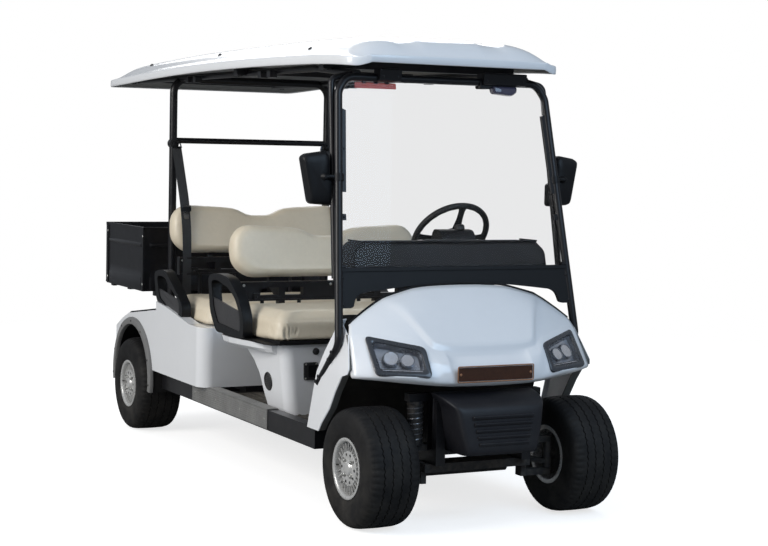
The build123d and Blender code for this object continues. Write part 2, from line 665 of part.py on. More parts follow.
# ---- assembly ----------------------------------------------------------------------
nodes = {
    "chassis_frame": chassis_frame(),
    "cargo_stand": cargo_stand(),
    "front_suspension": front_suspension(),
    "steering_rack": steering_rack(),
    "tie_rod": tie_rod(),
    "rear_axle": rear_axle(),
    "rear_springs": rear_springs(),
    "battery_pack": battery_pack(),
    "floor_pan": floor_pan(),
    "sills": sills(),
    "step_plates": step_plates(),
    "front_cowl": front_cowl(),
    "headlights": headlights(),
    "front_bumper": front_bumper(),
    "number_plate": number_plate(),
    "dashboard": dashboard(),
    "steering_column": steering_column(),
    "steering_wheel": steering_wheel(),
    "pedals": pedals(),
    "windshield_frame": windshield_frame(),
    "windshield_glass": windshield_glass(),
    "windshield_lower_panel": windshield_lower_panel(),
    "roof": roof(),
    "canopy_frame": canopy_frame(),
    "canopy_posts": canopy_posts(),
    "front_seat_cushion": seat_cushion(0),
    "rear_seat_cushion": seat_cushion(1),
    "front_backrest": backrest(0),
    "rear_backrest": backrest(1),
    "seat_frames": seat_frames(),
    "hip_restraints": hip_restraints(),
    "front_seat_base": front_seat_base(),
    "rear_body": rear_body(),
    "arch_trims": arch_trims(),
    "tail_lights": tail_lights(),
    "seat_belts": seat_belts(),
    "mirrors": mirrors(),
    "cargo_box": cargo_box(),
    "tailgate": tailgate(),
}
for side, side_name in ((1, "left"), (-1, "right")):
    nodes["knuckle_" + side_name] = knuckle(side)
    for row, axle_y, track in (("front", FRONT_AXLE_Y, FRONT_TRACK), ("rear", REAR_AXLE_Y, REAR_TRACK)):
        centre = (side * track / 2, axle_y, AXLE_Z)
        nodes[f"tyre_{row}_{side_name}"] = tyre(centre, side)
        nodes[f"rim_{row}_{side_name}"] = rim(centre, side)

# Where two pieces meet, the first is cut to the shape of the second.
SEATED_PIECES = [
    ("front_bumper", "chassis_frame"),
    ("front_cowl", "headlights"),
    ("front_cowl", "windshield_frame"),
    ("number_plate", "front_cowl"),
    ("windshield_lower_panel", "windshield_frame"),
    ("windshield_lower_panel", "front_cowl"),
    ("windshield_lower_panel", "dashboard"),
    ("windshield_glass", "windshield_frame"),
    ("canopy_frame", "windshield_frame"),
    ("canopy_posts", "windshield_frame"),
    ("canopy_posts", "windshield_lower_panel"),
    ("canopy_posts", "canopy_frame"),
    ("mirrors", "windshield_frame"),
    ("steering_column", "floor_pan"),
    ("steering_column", "dashboard"),
    ("pedals", "floor_pan"),
    ("seat_frames", "front_backrest"),
    ("seat_frames", "rear_backrest"),
    ("rear_body", "chassis_frame"),
    ("rear_body", "cargo_stand"),
    ("rear_body", "canopy_frame"),
    ("hip_restraints", "rear_body"),
    ("seat_belts", "canopy_frame"),
]
for piece, neighbour in SEATED_PIECES:
    nodes[piece] -= nodes[neighbour]

for name, shape in nodes.items():
    export_step(shape, f"parts/{name}.step")
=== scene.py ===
"""Dresses a packed four-seat golf cart: body mouldings, wheels, seats, canopy, lamps and a plain studio."""
import math

import bmesh
import bpy
from mathutils import Matrix, Vector, noise


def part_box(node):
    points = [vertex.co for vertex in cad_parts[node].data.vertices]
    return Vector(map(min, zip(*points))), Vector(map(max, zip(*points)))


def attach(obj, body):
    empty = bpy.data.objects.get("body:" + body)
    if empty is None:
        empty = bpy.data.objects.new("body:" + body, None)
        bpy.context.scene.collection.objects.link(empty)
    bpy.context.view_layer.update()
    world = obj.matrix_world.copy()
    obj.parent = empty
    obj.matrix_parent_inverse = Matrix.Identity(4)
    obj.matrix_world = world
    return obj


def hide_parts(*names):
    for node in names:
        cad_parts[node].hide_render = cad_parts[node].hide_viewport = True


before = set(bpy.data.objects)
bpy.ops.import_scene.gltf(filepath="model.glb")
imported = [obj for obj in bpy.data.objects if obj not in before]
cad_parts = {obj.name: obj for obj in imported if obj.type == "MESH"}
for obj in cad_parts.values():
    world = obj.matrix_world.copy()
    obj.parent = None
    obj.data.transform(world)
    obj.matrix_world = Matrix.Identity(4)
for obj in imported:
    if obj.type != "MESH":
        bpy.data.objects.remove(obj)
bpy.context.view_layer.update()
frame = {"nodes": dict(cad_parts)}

bl_info = {
    "name": "Golf cart dressing",
    "version": (1, 0, 0),
    "blender": (4, 5, 0),
    "location": "View3D > Sidebar > Golf cart",
    "description": "Builds the visible pieces and finishes of a four-seat golf cart round its CAD frame",
    "category": "Object",
}

MM = 0.001
# Points closer than this, in metres, become one
MERGE_DISTANCE = 0.00002
# Edges that turn by more than this are rounded by a bevel
BEVEL_TURN = math.radians(28)
# A rounded corner takes at most this share of the sides that meet in it
CORNER_SHARE = 0.48
# Directions in the cart's frame
FORWARD = (0, -1, 0)
BACKWARD = (0, 1, 0)
LEFTWARD = (1, 0, 0)
UPWARD = (0, 0, 1)


# ---- gathering points and faces ------------------------------------------------------
class Shape:
    """Points in millimetres with faces and a finish number for each face."""

    def __init__(self):
        self.points = []
        self.faces = []
        self.paints = []

    def add(self, points, faces, paint=0):
        base = len(self.points)
        self.points += [Vector(p) for p in points]
        self.faces += [tuple(base + i for i in face) for face in faces]
        self.paints += [paint] * len(faces)
        return self

    def merge(self, other, paint=None):
        base = len(self.points)
        self.points += [p.copy() for p in other.points]
        self.faces += [tuple(base + i for i in face) for face in other.faces]
        self.paints += other.paints if paint is None else [paint] * len(other.faces)
        return self

    def turned(self, matrix):
        out = Shape().merge(self)
        out.points = [matrix @ p for p in out.points]
        return out

    def moved(self, x=0, y=0, z=0):
        return self.turned(Matrix.Translation((x, y, z)))

    def mirrored(self):
        out = Shape().merge(self)
        out.points = [Vector((-p.x, p.y, p.z)) for p in out.points]
        out.faces = [tuple(reversed(face)) for face in out.faces]
        return out

    def on_side(self, side):
        return self if side > 0 else self.mirrored()

    def both(self):
        return Shape().merge(self).merge(self.mirrored())

    def cap(self, loop, paint=0, flip=False):
        """Closes a loop of points with one face."""
        order = tuple(range(len(loop)))
        return self.add(loop, [order[::-1] if flip else order], paint)

    def fan(self, loop, paint=0):
        """Closes a loop of points with triangles that meet in its middle."""
        count = len(loop)
        centre = sum(loop, Vector()) / count
        return self.add(loop + [centre], [(i, (i + 1) % count, count) for i in range(count)], paint)

    def close_ends(self, count, paint):
        """Closes the first and the last loop of a skin with count points in each."""
        last = len(self.points) - count
        self.faces += [tuple(reversed(range(count))), tuple(range(last, last + count))]
        self.paints += [paint, paint]
        return self


def around(count, offset=0):
    """Angles spread evenly over a full turn."""
    return [2 * math.pi * (i + offset) / count for i in range(count)]


def bend_points(first, corner, last, steps):
    """Points on a smooth bend from first to last that is drawn towards the corner."""
    shares = [step / steps for step in range(steps + 1)]
    return [first * (1 - t) ** 2 + corner * 2 * t * (1 - t) + last * t ** 2 for t in shares]


def rounded(outline, radius, steps=4):
    """The closed 2D outline with each corner bent to the given radius, or to its own radius from a list."""
    count = len(outline)
    radii = radius if isinstance(radius, (list, tuple)) else [radius] * count
    out = []
    for i, corner in enumerate(outline):
        here = Vector(corner)
        before = Vector(outline[i - 1]) - here
        after = Vector(outline[(i + 1) % count]) - here
        cut = min(radii[i], before.length * CORNER_SHARE, after.length * CORNER_SHARE)
        if cut < 0.5:
            out.append(tuple(here))
            continue
        first = here + before.normalized() * cut
        last = here + after.normalized() * cut
        out += [tuple(p) for p in bend_points(first, here, last, steps)]
    return out


def rounded_path(points, radius, steps=6):
    """An open 3D path with its inner corners rounded."""
    points = [Vector(p) for p in points]
    out = [points[0]]
    for i in range(1, len(points) - 1):
        here = points[i]
        before = points[i - 1] - here
        after = points[i + 1] - here
        cut = min(radius, before.length * CORNER_SHARE, after.length * CORNER_SHARE)
        out += bend_points(here + before.normalized() * cut, here, here + after.normalized() * cut, steps)
    out.append(points[-1])
    return out


def on_axis(axis, a, b, level):
    """A 3D point from an outline's two values and the level along the axis."""
    return {"x": (level, a, b), "y": (a, level, b), "z": (a, b, level)}[axis]


def prism(outline, axis, low, high, paint=0):
    """A closed outline drawn along an axis between two levels."""
    count = len(outline)
    points = [on_axis(axis, a, b, low) for a, b in outline] + [on_axis(axis, a, b, high) for a, b in outline]
    faces = [tuple(range(count)), tuple(reversed(range(count, 2 * count)))]
    faces += [(i, (i + 1) % count, count + (i + 1) % count, count + i) for i in range(count)]
    return Shape().add(points, faces, paint)


def rect(across, up):
    """A rectangle's four corners from its two ranges."""
    return [(across[0], up[0]), (across[1], up[0]), (across[1], up[1]), (across[0], up[1])]


def slab(x, y, z, paint=0):
    return prism(rect(x, y), "z", z[0], z[1], paint)


def skin(rows, loop_rows=False, loop_columns=False, paint=0, skip=()):
    """A surface through rows of points, each row with the same count; (row, column) pairs in skip are left open."""
    wide = len(rows[0])
    deep = len(rows)
    faces = []
    for r in range(deep if loop_rows else deep - 1):
        for c in range(wide if loop_columns else wide - 1):
            if (r, c) in skip:
                continue
            r2, c2 = (r + 1) % deep, (c + 1) % wide
            faces.append((r * wide + c, r * wide + c2, r2 * wide + c2, r2 * wide + c))
    return Shape().add([p for row in rows for p in row], faces, paint)


def tube(points, radius, bend=0, sides=14, closed=False, steps=6, paint=0):
    """A round tube along a path; radius may be a list with one value for each point when nothing is bent."""
    path = rounded_path(points, bend, steps) if bend else [Vector(p) for p in points]
    count = len(path)
    radii = radius if isinstance(radius, (list, tuple)) else [radius] * count
    rows = []
    normal = None
    for i, here in enumerate(path):
        if closed:
            along = path[(i + 1) % count] - path[i - 1]
        else:
            along = path[min(i + 1, count - 1)] - path[max(i - 1, 0)]
        along.normalize()
        if normal is None:
            normal = along.orthogonal().normalized()
        normal = (normal - along * normal.dot(along)).normalized()
        across = along.cross(normal)
        rows.append([here + (normal * math.cos(a) + across * math.sin(a)) * radii[i] for a in around(sides)])
    out = skin(rows, loop_rows=closed, loop_columns=True, paint=paint)
    return out if closed else out.close_ends(sides, paint)


def lathe(profile, steps=48, closed=False, paint=0):
    """A turned piece about the X axis from (along, radius) points; a profile that isn't closed gets flat ends."""
    rows = [[(along, radius * math.cos(a), radius * math.sin(a)) for a in around(steps)] for along, radius in profile]
    out = skin(rows, loop_rows=closed, loop_columns=True, paint=paint)
    return out if closed else out.close_ends(steps, paint)


def pointing(centre, direction):
    """A matrix that takes the X axis to the direction at the centre."""
    turn = Vector((1, 0, 0)).rotation_difference(Vector(direction)).to_matrix().to_4x4()
    return Matrix.Translation(Vector(centre)) @ turn


def bolt(centre, direction, radius=7, height=4, paint=0, sides=12):
    """A domed bolt head on a washer that faces along the direction."""
    washer = radius * 1.35
    profile = [(0, washer), (height * 0.25, washer), (height * 0.3, radius), (height * 0.8, radius * 0.82),
               (height, radius * 0.45)]
    return lathe(profile, sides, paint=paint).turned(pointing(centre, direction))


# ---- turning a shape into a piece ----------------------------------------------------
def settle(obj, body, replaces=()):
    """Rides the piece on its body and hides the CAD nodes it stands for."""
    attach(obj, body)
    if replaces:
        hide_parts(*((replaces,) if isinstance(replaces, str) else replaces))
    return obj


def finish_named(name):
    return bpy.data.materials["cart_" + name]


def dress(node, finish):
    """Gives a CAD node that stays in view its finish."""
    mesh = frame["nodes"][node].data
    mesh.materials.clear()
    mesh.materials.append(finish_named(finish))


def linked_object(name, data):
    """A new object in the scene."""
    obj = bpy.data.objects.new(name, data)
    bpy.context.scene.collection.objects.link(obj)
    return obj


def mesh_object(name, shape, finishes, sharp=35, crease=None):
    """Makes a mesh object from a shape; crease gives an edge's value from its two ends, in millimetres."""
    mesh = bpy.data.meshes.new(name)
    mesh.from_pydata([tuple(p * MM) for p in shape.points], [], shape.faces)
    for finish in finishes:
        mesh.materials.append(finish_named(finish))
    mesh.polygons.foreach_set("material_index", shape.paints)
    work = bmesh.new()
    work.from_mesh(mesh)
    bmesh.ops.remove_doubles(work, verts=work.verts, dist=MERGE_DISTANCE)
    bmesh.ops.recalc_face_normals(work, faces=work.faces)
    if crease:
        layer = work.edges.layers.float.new("crease_edge")
        for edge in work.edges:
            edge[layer] = crease(*(v.co / MM for v in edge.verts))
    work.to_mesh(mesh)
    work.free()
    mesh.shade_smooth()
    if sharp:
        mesh.set_sharp_from_angle(angle=math.radians(sharp))
    return linked_object(name, mesh)


def subdivided(obj, levels):
    smooth = obj.modifiers.new("Smooth", "SUBSURF")
    smooth.levels = smooth.render_levels = levels


def piece(name, shape, finishes, body="cart", replaces=(), bevel=0.0, rings=2, subdivide=0,
          sharp=35, crease=None, wall=0.0):
    """Makes a piece from a shape; bevel and wall are in millimetres."""
    finishes = [finishes] if isinstance(finishes, str) else finishes
    obj = mesh_object(name, shape, finishes, 0 if subdivide else sharp, crease)
    if wall:
        thick = obj.modifiers.new("Wall", "SOLIDIFY")
        thick.thickness = wall * MM
        thick.offset = -1
    if bevel:
        edge = obj.modifiers.new("Edge round", "BEVEL")
        edge.width = bevel * MM
        edge.segments = rings
        edge.limit_method = "ANGLE"
        edge.angle_limit = BEVEL_TURN
        edge.use_clamp_overlap = True
        edge.harden_normals = True
    if subdivide:
        subdivided(obj, subdivide)
    return settle(obj, body, replaces)


# ---- finishes --------------------------------------------------------------------------
def new_group(name, inputs, outputs):
    """A shader node group with (name, kind, default) inputs and (name, kind) outputs."""
    group = bpy.data.node_groups.new(name, "ShaderNodeTree")
    for label, kind, default in inputs:
        socket = group.interface.new_socket(name=label, in_out="INPUT", socket_type="NodeSocket" + kind)
        socket.default_value = default
    for label, kind in outputs:
        group.interface.new_socket(name=label, in_out="OUTPUT", socket_type="NodeSocket" + kind)
    nodes = group.nodes
    return group, nodes.new("NodeGroupInput"), nodes.new("NodeGroupOutput")


def add_node(tree, kind, **settings):
    """A new node of a kind, with its settings."""
    node = tree.nodes.new("ShaderNode" + kind)
    for name, value in settings.items():
        setattr(node, name, value)
    return node


def feed(tree, socket, value):
    """Sets a socket to a plain value, or links another node's output to it."""
    if isinstance(value, (int, float, tuple)):
        socket.default_value = value
    else:
        tree.links.new(value, socket)


def maths(tree, kind, a, b, clamp=False):
    node = add_node(tree, "Math", operation=kind, use_clamp=clamp)
    for socket, value in zip(node.inputs, (a, b)):
        feed(tree, socket, value)
    return node.outputs[0]


def remap(tree, value, low, high, to_low, to_high):
    node = add_node(tree, "MapRange")
    for label, amount in (("Value", value), ("From Min", low), ("From Max", high), ("To Min", to_low),
                          ("To Max", to_high)):
        feed(tree, node.inputs[label], amount)
    return node.outputs[0]


def blend_colour(tree, factor, first, second):
    node = add_node(tree, "Mix", data_type="RGBA")
    for at, value in ((0, factor), (6, first), (7, second)):
        feed(tree, node.inputs[at], value)
    return node.outputs[2]


def noise_value(tree, scale, detail=3.0, roughness=0.5, stretch=None):
    """Noise over the piece's own coordinates; stretch squeezes it along chosen axes."""
    place = add_node(tree, "TexCoord").outputs["Object"]
    if stretch:
        mapping = add_node(tree, "Mapping")
        mapping.inputs["Scale"].default_value = stretch
        tree.links.new(place, mapping.inputs["Vector"])
        place = mapping.outputs[0]
    node = add_node(tree, "TexNoise")
    for label, value in (("Detail", detail), ("Roughness", roughness), ("Vector", place), ("Scale", scale)):
        feed(tree, node.inputs[label], value)
    return node.outputs["Fac"]


def tone_group():
    """Broad and fine changes of tone over a colour."""
    group, source, sink = new_group(
        "Tone change",
        [("Colour", "Color", (0.5, 0.5, 0.5, 1)), ("Amount", "Float", 0.1), ("Scale", "Float", 6.0)],
        [("Colour", "Color"), ("Mask", "Float")],
    )
    broad = noise_value(group, source.outputs["Scale"], 4.0, 0.55)
    fine = noise_value(group, maths(group, "MULTIPLY", source.outputs["Scale"], 9.0), 2.0)
    mask = maths(group, "ADD", maths(group, "MULTIPLY", broad, 0.7), maths(group, "MULTIPLY", fine, 0.3))
    low = maths(group, "SUBTRACT", 1.0, source.outputs["Amount"])
    factor = remap(group, mask, 0.35, 0.65, low, 1.0)
    scaled = add_node(group, "VectorMath", operation="SCALE")
    group.links.new(source.outputs["Colour"], scaled.inputs[0])
    group.links.new(factor, scaled.inputs["Scale"])
    group.links.new(scaled.outputs[0], sink.inputs["Colour"])
    group.links.new(mask, sink.inputs["Mask"])


def grain_group():
    """Height of a moulded or cast grain: pebbles with a finer noise between them."""
    group, source, sink = new_group(
        "Surface grain", [("Scale", "Float", 900.0), ("Pebble", "Float", 0.5)], [("Height", "Float")],
    )
    pebble = add_node(group, "TexVoronoi", feature="SMOOTH_F1")
    group.links.new(add_node(group, "TexCoord").outputs["Object"], pebble.inputs["Vector"])
    group.links.new(source.outputs["Scale"], pebble.inputs["Scale"])
    fine = noise_value(group, maths(group, "MULTIPLY", source.outputs["Scale"], 1.7), 3.0)
    share = source.outputs["Pebble"]
    height = maths(
        group, "ADD", maths(group, "MULTIPLY", pebble.outputs["Distance"], share),
        maths(group, "MULTIPLY", fine, maths(group, "SUBTRACT", 1.0, share)),
    )
    group.links.new(height, sink.inputs["Height"])


def dust_group():
    """Pale road dust that settles low down and on faces that look up."""
    group, source, sink = new_group(
        "Road dust",
        [("Colour", "Color", (0.5, 0.5, 0.5, 1)), ("Amount", "Float", 0.2), ("Reach", "Float", 0.5)],
        [("Colour", "Color"), ("Mask", "Float")],
    )
    place = add_node(group, "SeparateXYZ")
    group.links.new(add_node(group, "TexCoord").outputs["Object"], place.inputs[0])
    low_down = remap(group, place.outputs["Z"], 0.0, source.outputs["Reach"], 1.0, 0.0)
    facing = add_node(group, "SeparateXYZ")
    group.links.new(add_node(group, "NewGeometry").outputs["Normal"], facing.inputs[0])
    upward = remap(group, facing.outputs["Z"], -0.2, 1.0, 0.35, 1.0)
    patch = remap(group, noise_value(group, 14.0, 6.0, 0.62), 0.38, 0.68, 0.15, 1.0)
    mask = maths(group, "MULTIPLY", maths(group, "MULTIPLY", low_down, upward), patch)
    mask = maths(group, "MULTIPLY", mask, source.outputs["Amount"], clamp=True)
    colour = blend_colour(group, mask, source.outputs["Colour"], (0.36, 0.33, 0.28, 1))
    group.links.new(colour, sink.inputs["Colour"])
    group.links.new(mask, sink.inputs["Mask"])


def wear_group():
    """A mask of rubbed edges, broken up by noise."""
    group, source, sink = new_group("Edge wear", [("Amount", "Float", 0.5)], [("Mask", "Float")])
    point = add_node(group, "NewGeometry").outputs["Pointiness"]
    edge = remap(group, point, 0.52, 0.6, 0.0, 1.0)
    patch = remap(group, noise_value(group, 45.0, 5.0, 0.6), 0.42, 0.62, 0.0, 1.0)
    mask = maths(group, "MULTIPLY", maths(group, "MULTIPLY", edge, patch), source.outputs["Amount"], clamp=True)
    group.links.new(mask, sink.inputs["Mask"])


def placed_group(tree, name, values):
    """A group node in a material, with its own values or links."""
    node = add_node(tree, "Group", node_tree=bpy.data.node_groups[name])
    for label, value in values.items():
        feed(tree, node.inputs[label], (*value[:3], 1) if isinstance(value, tuple) else value)
    return node


# Each row holds make_finish's values in their order
FINISHES = (
    # White body: its slight blue tint is painted sky reflection on plain white plastic
    ("white_panel", (0.84, 0.855, 0.88), 0.025, 3.0, 0.2, 0.08, 0.0, 0.5, 700, 0.2, 0.006, 0.1, 0.45),
    ("roof_under", (0.28, 0.28, 0.275), 0.14, 5.0, 0.65, 0.1, 0.0, 0.0, 260, 0.3, 0.12),
    # Dark grey painted on the white body's turned-in lip beside the front wheels, as painted shade
    ("painted_shade_grey", (0.13, 0.128, 0.12), 0.2, 6.0, 0.6, 0.12, 0.0, 0.0, 500, 0.5, 0.06, 0.35, 0.6),
    ("black_steel", (0.007, 0.007, 0.009), 0.1, 9.0, 0.34, 0.07, 0.0, 0.05, 1500, 0.7, 0.02, 0.05, 0.5, 0.2,
     (0.022, 0.022, 0.024)),
    ("running_gear", (0.018, 0.018, 0.02), 0.35, 12.0, 0.5, 0.2, 0.0, 0.0, 700, 0.5, 0.08, 0.3, 0.5, 0.3,
     (0.12, 0.1, 0.08)),
    ("spring_steel", (0.16, 0.16, 0.17), 0.2, 20.0, 0.3, 0.1, 0.7, 0.0, 900, 0.4, 0.02, 0.2),
    ("zinc_bolt", (0.5, 0.5, 0.48), 0.2, 60.0, 0.34, 0.12, 1.0, 0.0, 1600, 0.3, 0.01, 0.1, 0.6),
    ("black_bolt", (0.03, 0.03, 0.032), 0.2, 60.0, 0.35, 0.1, 0.4, 0.0, 1600, 0.3, 0.01, 0.1, 0.6),
    ("battery_case", (0.03, 0.03, 0.034), 0.2, 8.0, 0.55, 0.1, 0.0, 0.0, 800, 0.6, 0.05, 0.25, 0.6),
    ("mat_rubber", (0.035, 0.032, 0.028), 0.3, 9.0, 0.75, 0.1, 0.0, 0.0, 1300, 0.7, 0.08, 0.5, 0.6),
    ("step_metal", (0.27, 0.27, 0.265), 0.3, 10.0, 0.38, 0.14, 0.3, 0.0, 1200, 0.3, 0.02, 0.35, 0.6),
    ("dark_plastic", (0.0055, 0.006, 0.0075), 0.12, 7.0, 0.46, 0.1, 0.0, 0.0, 1500, 0.8, 0.008, 0.08, 0.6),
    ("trim_plastic", (0.03, 0.031, 0.033), 0.2, 9.0, 0.5, 0.12, 0.0, 0.0, 1100, 0.8, 0.06, 0.35, 0.6),
    ("bumper_plastic", (0.01, 0.0105, 0.0145), 0.16, 8.0, 0.45, 0.1, 0.0, 0.0, 1000, 0.85, 0.07, 0.1, 0.55),
    ("arch_plastic", (0.19, 0.19, 0.19), 0.16, 9.0, 0.5, 0.12, 0.0, 0.0, 1100, 0.8, 0.06, 0.3, 0.6),
    ("infill_plastic", (0.05, 0.05, 0.053), 0.16, 9.0, 0.5, 0.1, 0.0, 0.0, 1000, 0.8, 0.06),
    ("seal_rubber", (0.012, 0.012, 0.013), 0.2, 30.0, 0.6, 0.1, 0.0, 0.0, 1500, 0.4, 0.03, 0.1, 0.6),
    ("plate_brown", (0.075, 0.028, 0.014), 0.3, 22.0, 0.42, 0.14, 0.35, 0.0, 1400, 0.4, 0.03),
    ("copper_edge", (0.52, 0.27, 0.16), 0.2, 40.0, 0.34, 0.1, 0.9, 0.0, 1500, 0.3, 0.01),
    ("grip_rubber", (0.018, 0.018, 0.019), 0.2, 12.0, 0.5, 0.1, 0.0, 0.0, 1700, 0.85, 0.08),
    ("pedal_rubber", (0.02, 0.02, 0.02), 0.25, 30.0, 0.6, 0.1, 0.0, 0.0, 1500, 0.6, 0.05, 0.2, 0.6),
    ("lamp_housing", (0.04, 0.045, 0.055), 0.25, 16.0, 0.26, 0.1, 0.1, 0.3, 1200, 0.5, 0.02),
    ("lamp_chrome", (0.3, 0.32, 0.36), 0.2, 25.0, 0.1, 0.08, 1.0, 0.0, 600, 0.2, 0.02),
    ("lamp_satin", (0.22, 0.24, 0.28), 0.25, 18.0, 0.25, 0.12, 0.6, 0.0, 900, 0.3, 0.03),
    ("cream_vinyl", (0.77, 0.68, 0.53), 0.07, 7.0, 0.42, 0.12, 0.0, 0.08, 1050, 0.85, 0.1),
    ("tyre_rubber", (0.009, 0.009, 0.01), 0.3, 10.0, 0.66, 0.12, 0.0, 0.0, 1200, 0.5, 0.08, 0.2),
    ("rim_silver", (0.6, 0.6, 0.59), 0.08, 14.0, 0.26, 0.1, 0.35, 0.25, 900, 0.3, 0.02, 0.18, 0.4),
    # Near-black for the wheel's drum and valve, and for the painted shade of the hub's drill holes
    ("rim_dark", (0.02, 0.02, 0.02), 0.3, 14.0, 0.5, 0.14, 0.2, 0.0, 900, 0.4, 0.05, 0.2, 0.4),
    ("mirror_face", (0.86, 0.87, 0.88), 0.02, 4.0, 0.04, 0.02, 1.0, 0.0, 200, 0.1, 0.002),
    ("tail_red", (0.42, 0.012, 0.01), 0.12, 20.0, 0.14, 0.06, 0.0, 0.5, 500, 0.6, 0.06),
    ("notice_red", (0.42, 0.075, 0.06), 0.12, 20.0, 0.5, 0.1, 0.0, 0.0, 900, 0.3, 0.02),
    ("box_lens", (0.075, 0.07, 0.115), 0.2, 20.0, 0.14, 0.08, 0.0, 0.4, 500, 0.3, 0.01),
)


# Black finishes that throw back less of the room than bare plastic does
SHINE = {
    "black_steel": 0.34, "dark_plastic": 0.27, "trim_plastic": 0.3, "bumper_plastic": 0.34, "tyre_rubber": 0.2,
    "grip_rubber": 0.3, "seal_rubber": 0.2, "running_gear": 0.3, "mat_rubber": 0.25, "painted_shade_grey": 0.3,
    "infill_plastic": 0.3,
}


def new_material(name, **inputs):
    """A material with its tree and its shader, whose inputs are given with _ for each space."""
    material = bpy.data.materials.new("cart_" + name)
    material.use_nodes = True
    tree = material.node_tree
    shader = tree.nodes["Principled BSDF"]
    for label, value in inputs.items():
        shader.inputs[label.replace("_", " ")].default_value = value
    return material, tree, shader


def make_finish(name, colour, tone, tone_scale, rough, rough_change, metallic, coat, grain, pebble, depth, dust=0.0,
                reach=0.5, wear=0.0, worn=None):
    """An opaque finish whose tone and roughness change over it, with grain (depth in mm), dust (reach in metres)
    and rubbed edges."""
    material, tree, shader = new_material(
        name, Coat_Weight=coat, Coat_Roughness=0.06, Metallic=metallic, Specular_IOR_Level=SHINE.get(name, 0.5))
    material.diffuse_color = (*colour, 1)
    toned = placed_group(tree, "Tone change", {"Colour": colour, "Amount": tone, "Scale": tone_scale})
    paint = toned.outputs["Colour"]
    roughness = remap(tree, toned.outputs["Mask"], 0.3, 0.7, rough + rough_change / 2, rough - rough_change / 2)
    if wear:
        rubbed = placed_group(tree, "Edge wear", {"Amount": wear}).outputs["Mask"]
        paint = blend_colour(tree, rubbed, paint, (*worn, 1))
    if dust:
        dusty = placed_group(tree, "Road dust", {"Colour": paint, "Amount": dust, "Reach": reach})
        paint = dusty.outputs["Colour"]
        roughness = maths(tree, "ADD", roughness, maths(tree, "MULTIPLY", dusty.outputs["Mask"], 0.45), clamp=True)
    tree.links.new(paint, shader.inputs["Base Color"])
    tree.links.new(roughness, shader.inputs["Roughness"])
    height = placed_group(tree, "Surface grain", {"Scale": float(grain), "Pebble": pebble}).outputs["Height"]
    bump = add_node(tree, "Bump")
    bump.inputs["Strength"].default_value = 0.6
    bump.inputs["Distance"].default_value = depth * MM
    tree.links.new(height, bump.inputs["Height"])
    tree.links.new(bump.outputs[0], shader.inputs["Normal"])
    return material


def weave_finish(name, colour, thread_scale):
    """Woven webbing: a fine wave across the strap with ribs along it."""
    tree = make_finish(name, colour, 0.15, 30.0, 0.62, 0.1, 0.0, 0.0, 1800, 0.4, 0.05).node_tree
    bump = next(node for node in tree.nodes if node.type == "BUMP")
    place = add_node(tree, "TexCoord").outputs["Object"]
    heights = []
    for direction, scale in (("X", thread_scale), ("Z", thread_scale * 0.6)):
        wave = add_node(tree, "TexWave", bands_direction=direction)
        wave.inputs["Scale"].default_value = scale
        tree.links.new(place, wave.inputs["Vector"])
        heights.append(wave.outputs["Fac"])
    tree.links.new(maths(tree, "MULTIPLY", *heights), bump.inputs["Height"])
    bump.inputs["Distance"].default_value = 0.5 * MM


def glass_finish(name, colour, roughness, ior):
    """Clear glass that lets the lamps' light through to what is behind it."""
    tree, shader = new_material(name, Base_Color=(*colour, 1), Transmission_Weight=1.0, IOR=ior)[1:]
    smear = noise_value(tree, 9.0, 5.0, 0.6, (1.0, 1.0, 0.35))
    tree.links.new(remap(tree, smear, 0.35, 0.7, roughness, roughness + 0.03), shader.inputs["Roughness"])
    clear = add_node(tree, "BsdfTransparent")
    clear.inputs["Color"].default_value = (*colour, 1)
    mix = add_node(tree, "MixShader")
    tree.links.new(add_node(tree, "LightPath").outputs["Is Shadow Ray"], mix.inputs[0])
    tree.links.new(shader.outputs[0], mix.inputs[1])
    tree.links.new(clear.outputs[0], mix.inputs[2])
    tree.links.new(mix.outputs[0], tree.nodes["Material Output"].inputs["Surface"])


class GOLFCART_OT_finishes(bpy.types.Operator):
    """Makes every finish and dresses the CAD pieces that stay"""

    bl_idname = "golfcart.finishes"
    bl_label = "Finishes"

    def execute(self, context):
        tone_group()
        grain_group()
        dust_group()
        wear_group()
        colours = context.scene.cart_colours
        own = {
            "white_panel": tuple(colours.body), "cream_vinyl": tuple(colours.seats),
            "black_steel": tuple(colours.frame), "bumper_plastic": tuple(colours.bumper),
        }
        for name, colour, *values in FINISHES:
            make_finish(name, own.get(name, colour), *values)
        weave_finish("belt_webbing", (0.03, 0.032, 0.036), 420.0)
        glass_finish("clear_glass", (0.81, 0.813, 0.818), 0.0, 1.12)
        glass_finish("lens_glass", (0.97, 0.98, 0.99), 0.0, 1.4)
        kept = {
            "black_steel": ("chassis_frame", "cargo_stand", "sills", "windshield_frame", "canopy_frame", "canopy_posts",
                            "seat_frames"),
            "running_gear": ("front_suspension", "steering_rack", "tie_rod", "rear_axle", "rear_springs",
                             "knuckle_left", "knuckle_right"),
            "battery_case": ("battery_pack",),
            "mat_rubber": ("floor_pan",),
            "pedal_rubber": ("pedals",),
            "dark_plastic": ("steering_column", "dashboard", "windshield_lower_panel"),
            "clear_glass": ("windshield_glass",),
        }
        for finish, nodes in kept.items():
            for node in nodes:
                dress(node, finish)
        return {"FINISHED"}


# ---- wheels ----------------------------------------------------------------------------
WHEELS = (
    ("front_left", 1, "wheel_front_left"),
    ("front_right", -1, "wheel_front_right"),
    ("rear_left", 1, "wheel_rear_left"),
    ("rear_right", -1, "wheel_rear_right"),
)
# Half of the tyre's section from the bead to the tread's middle: distance out from the wheel's centre, radius
TYRE_WALL = ((96, 104), (98, 112), (101, 119), (101, 124), (104, 128), (106, 140), (107.3, 156), (107.8, 170),
             (107.2, 184), (105.5, 196), (101.5, 207), (96, 214.5), (89, 220), (80, 223.6), (70, 225.6))
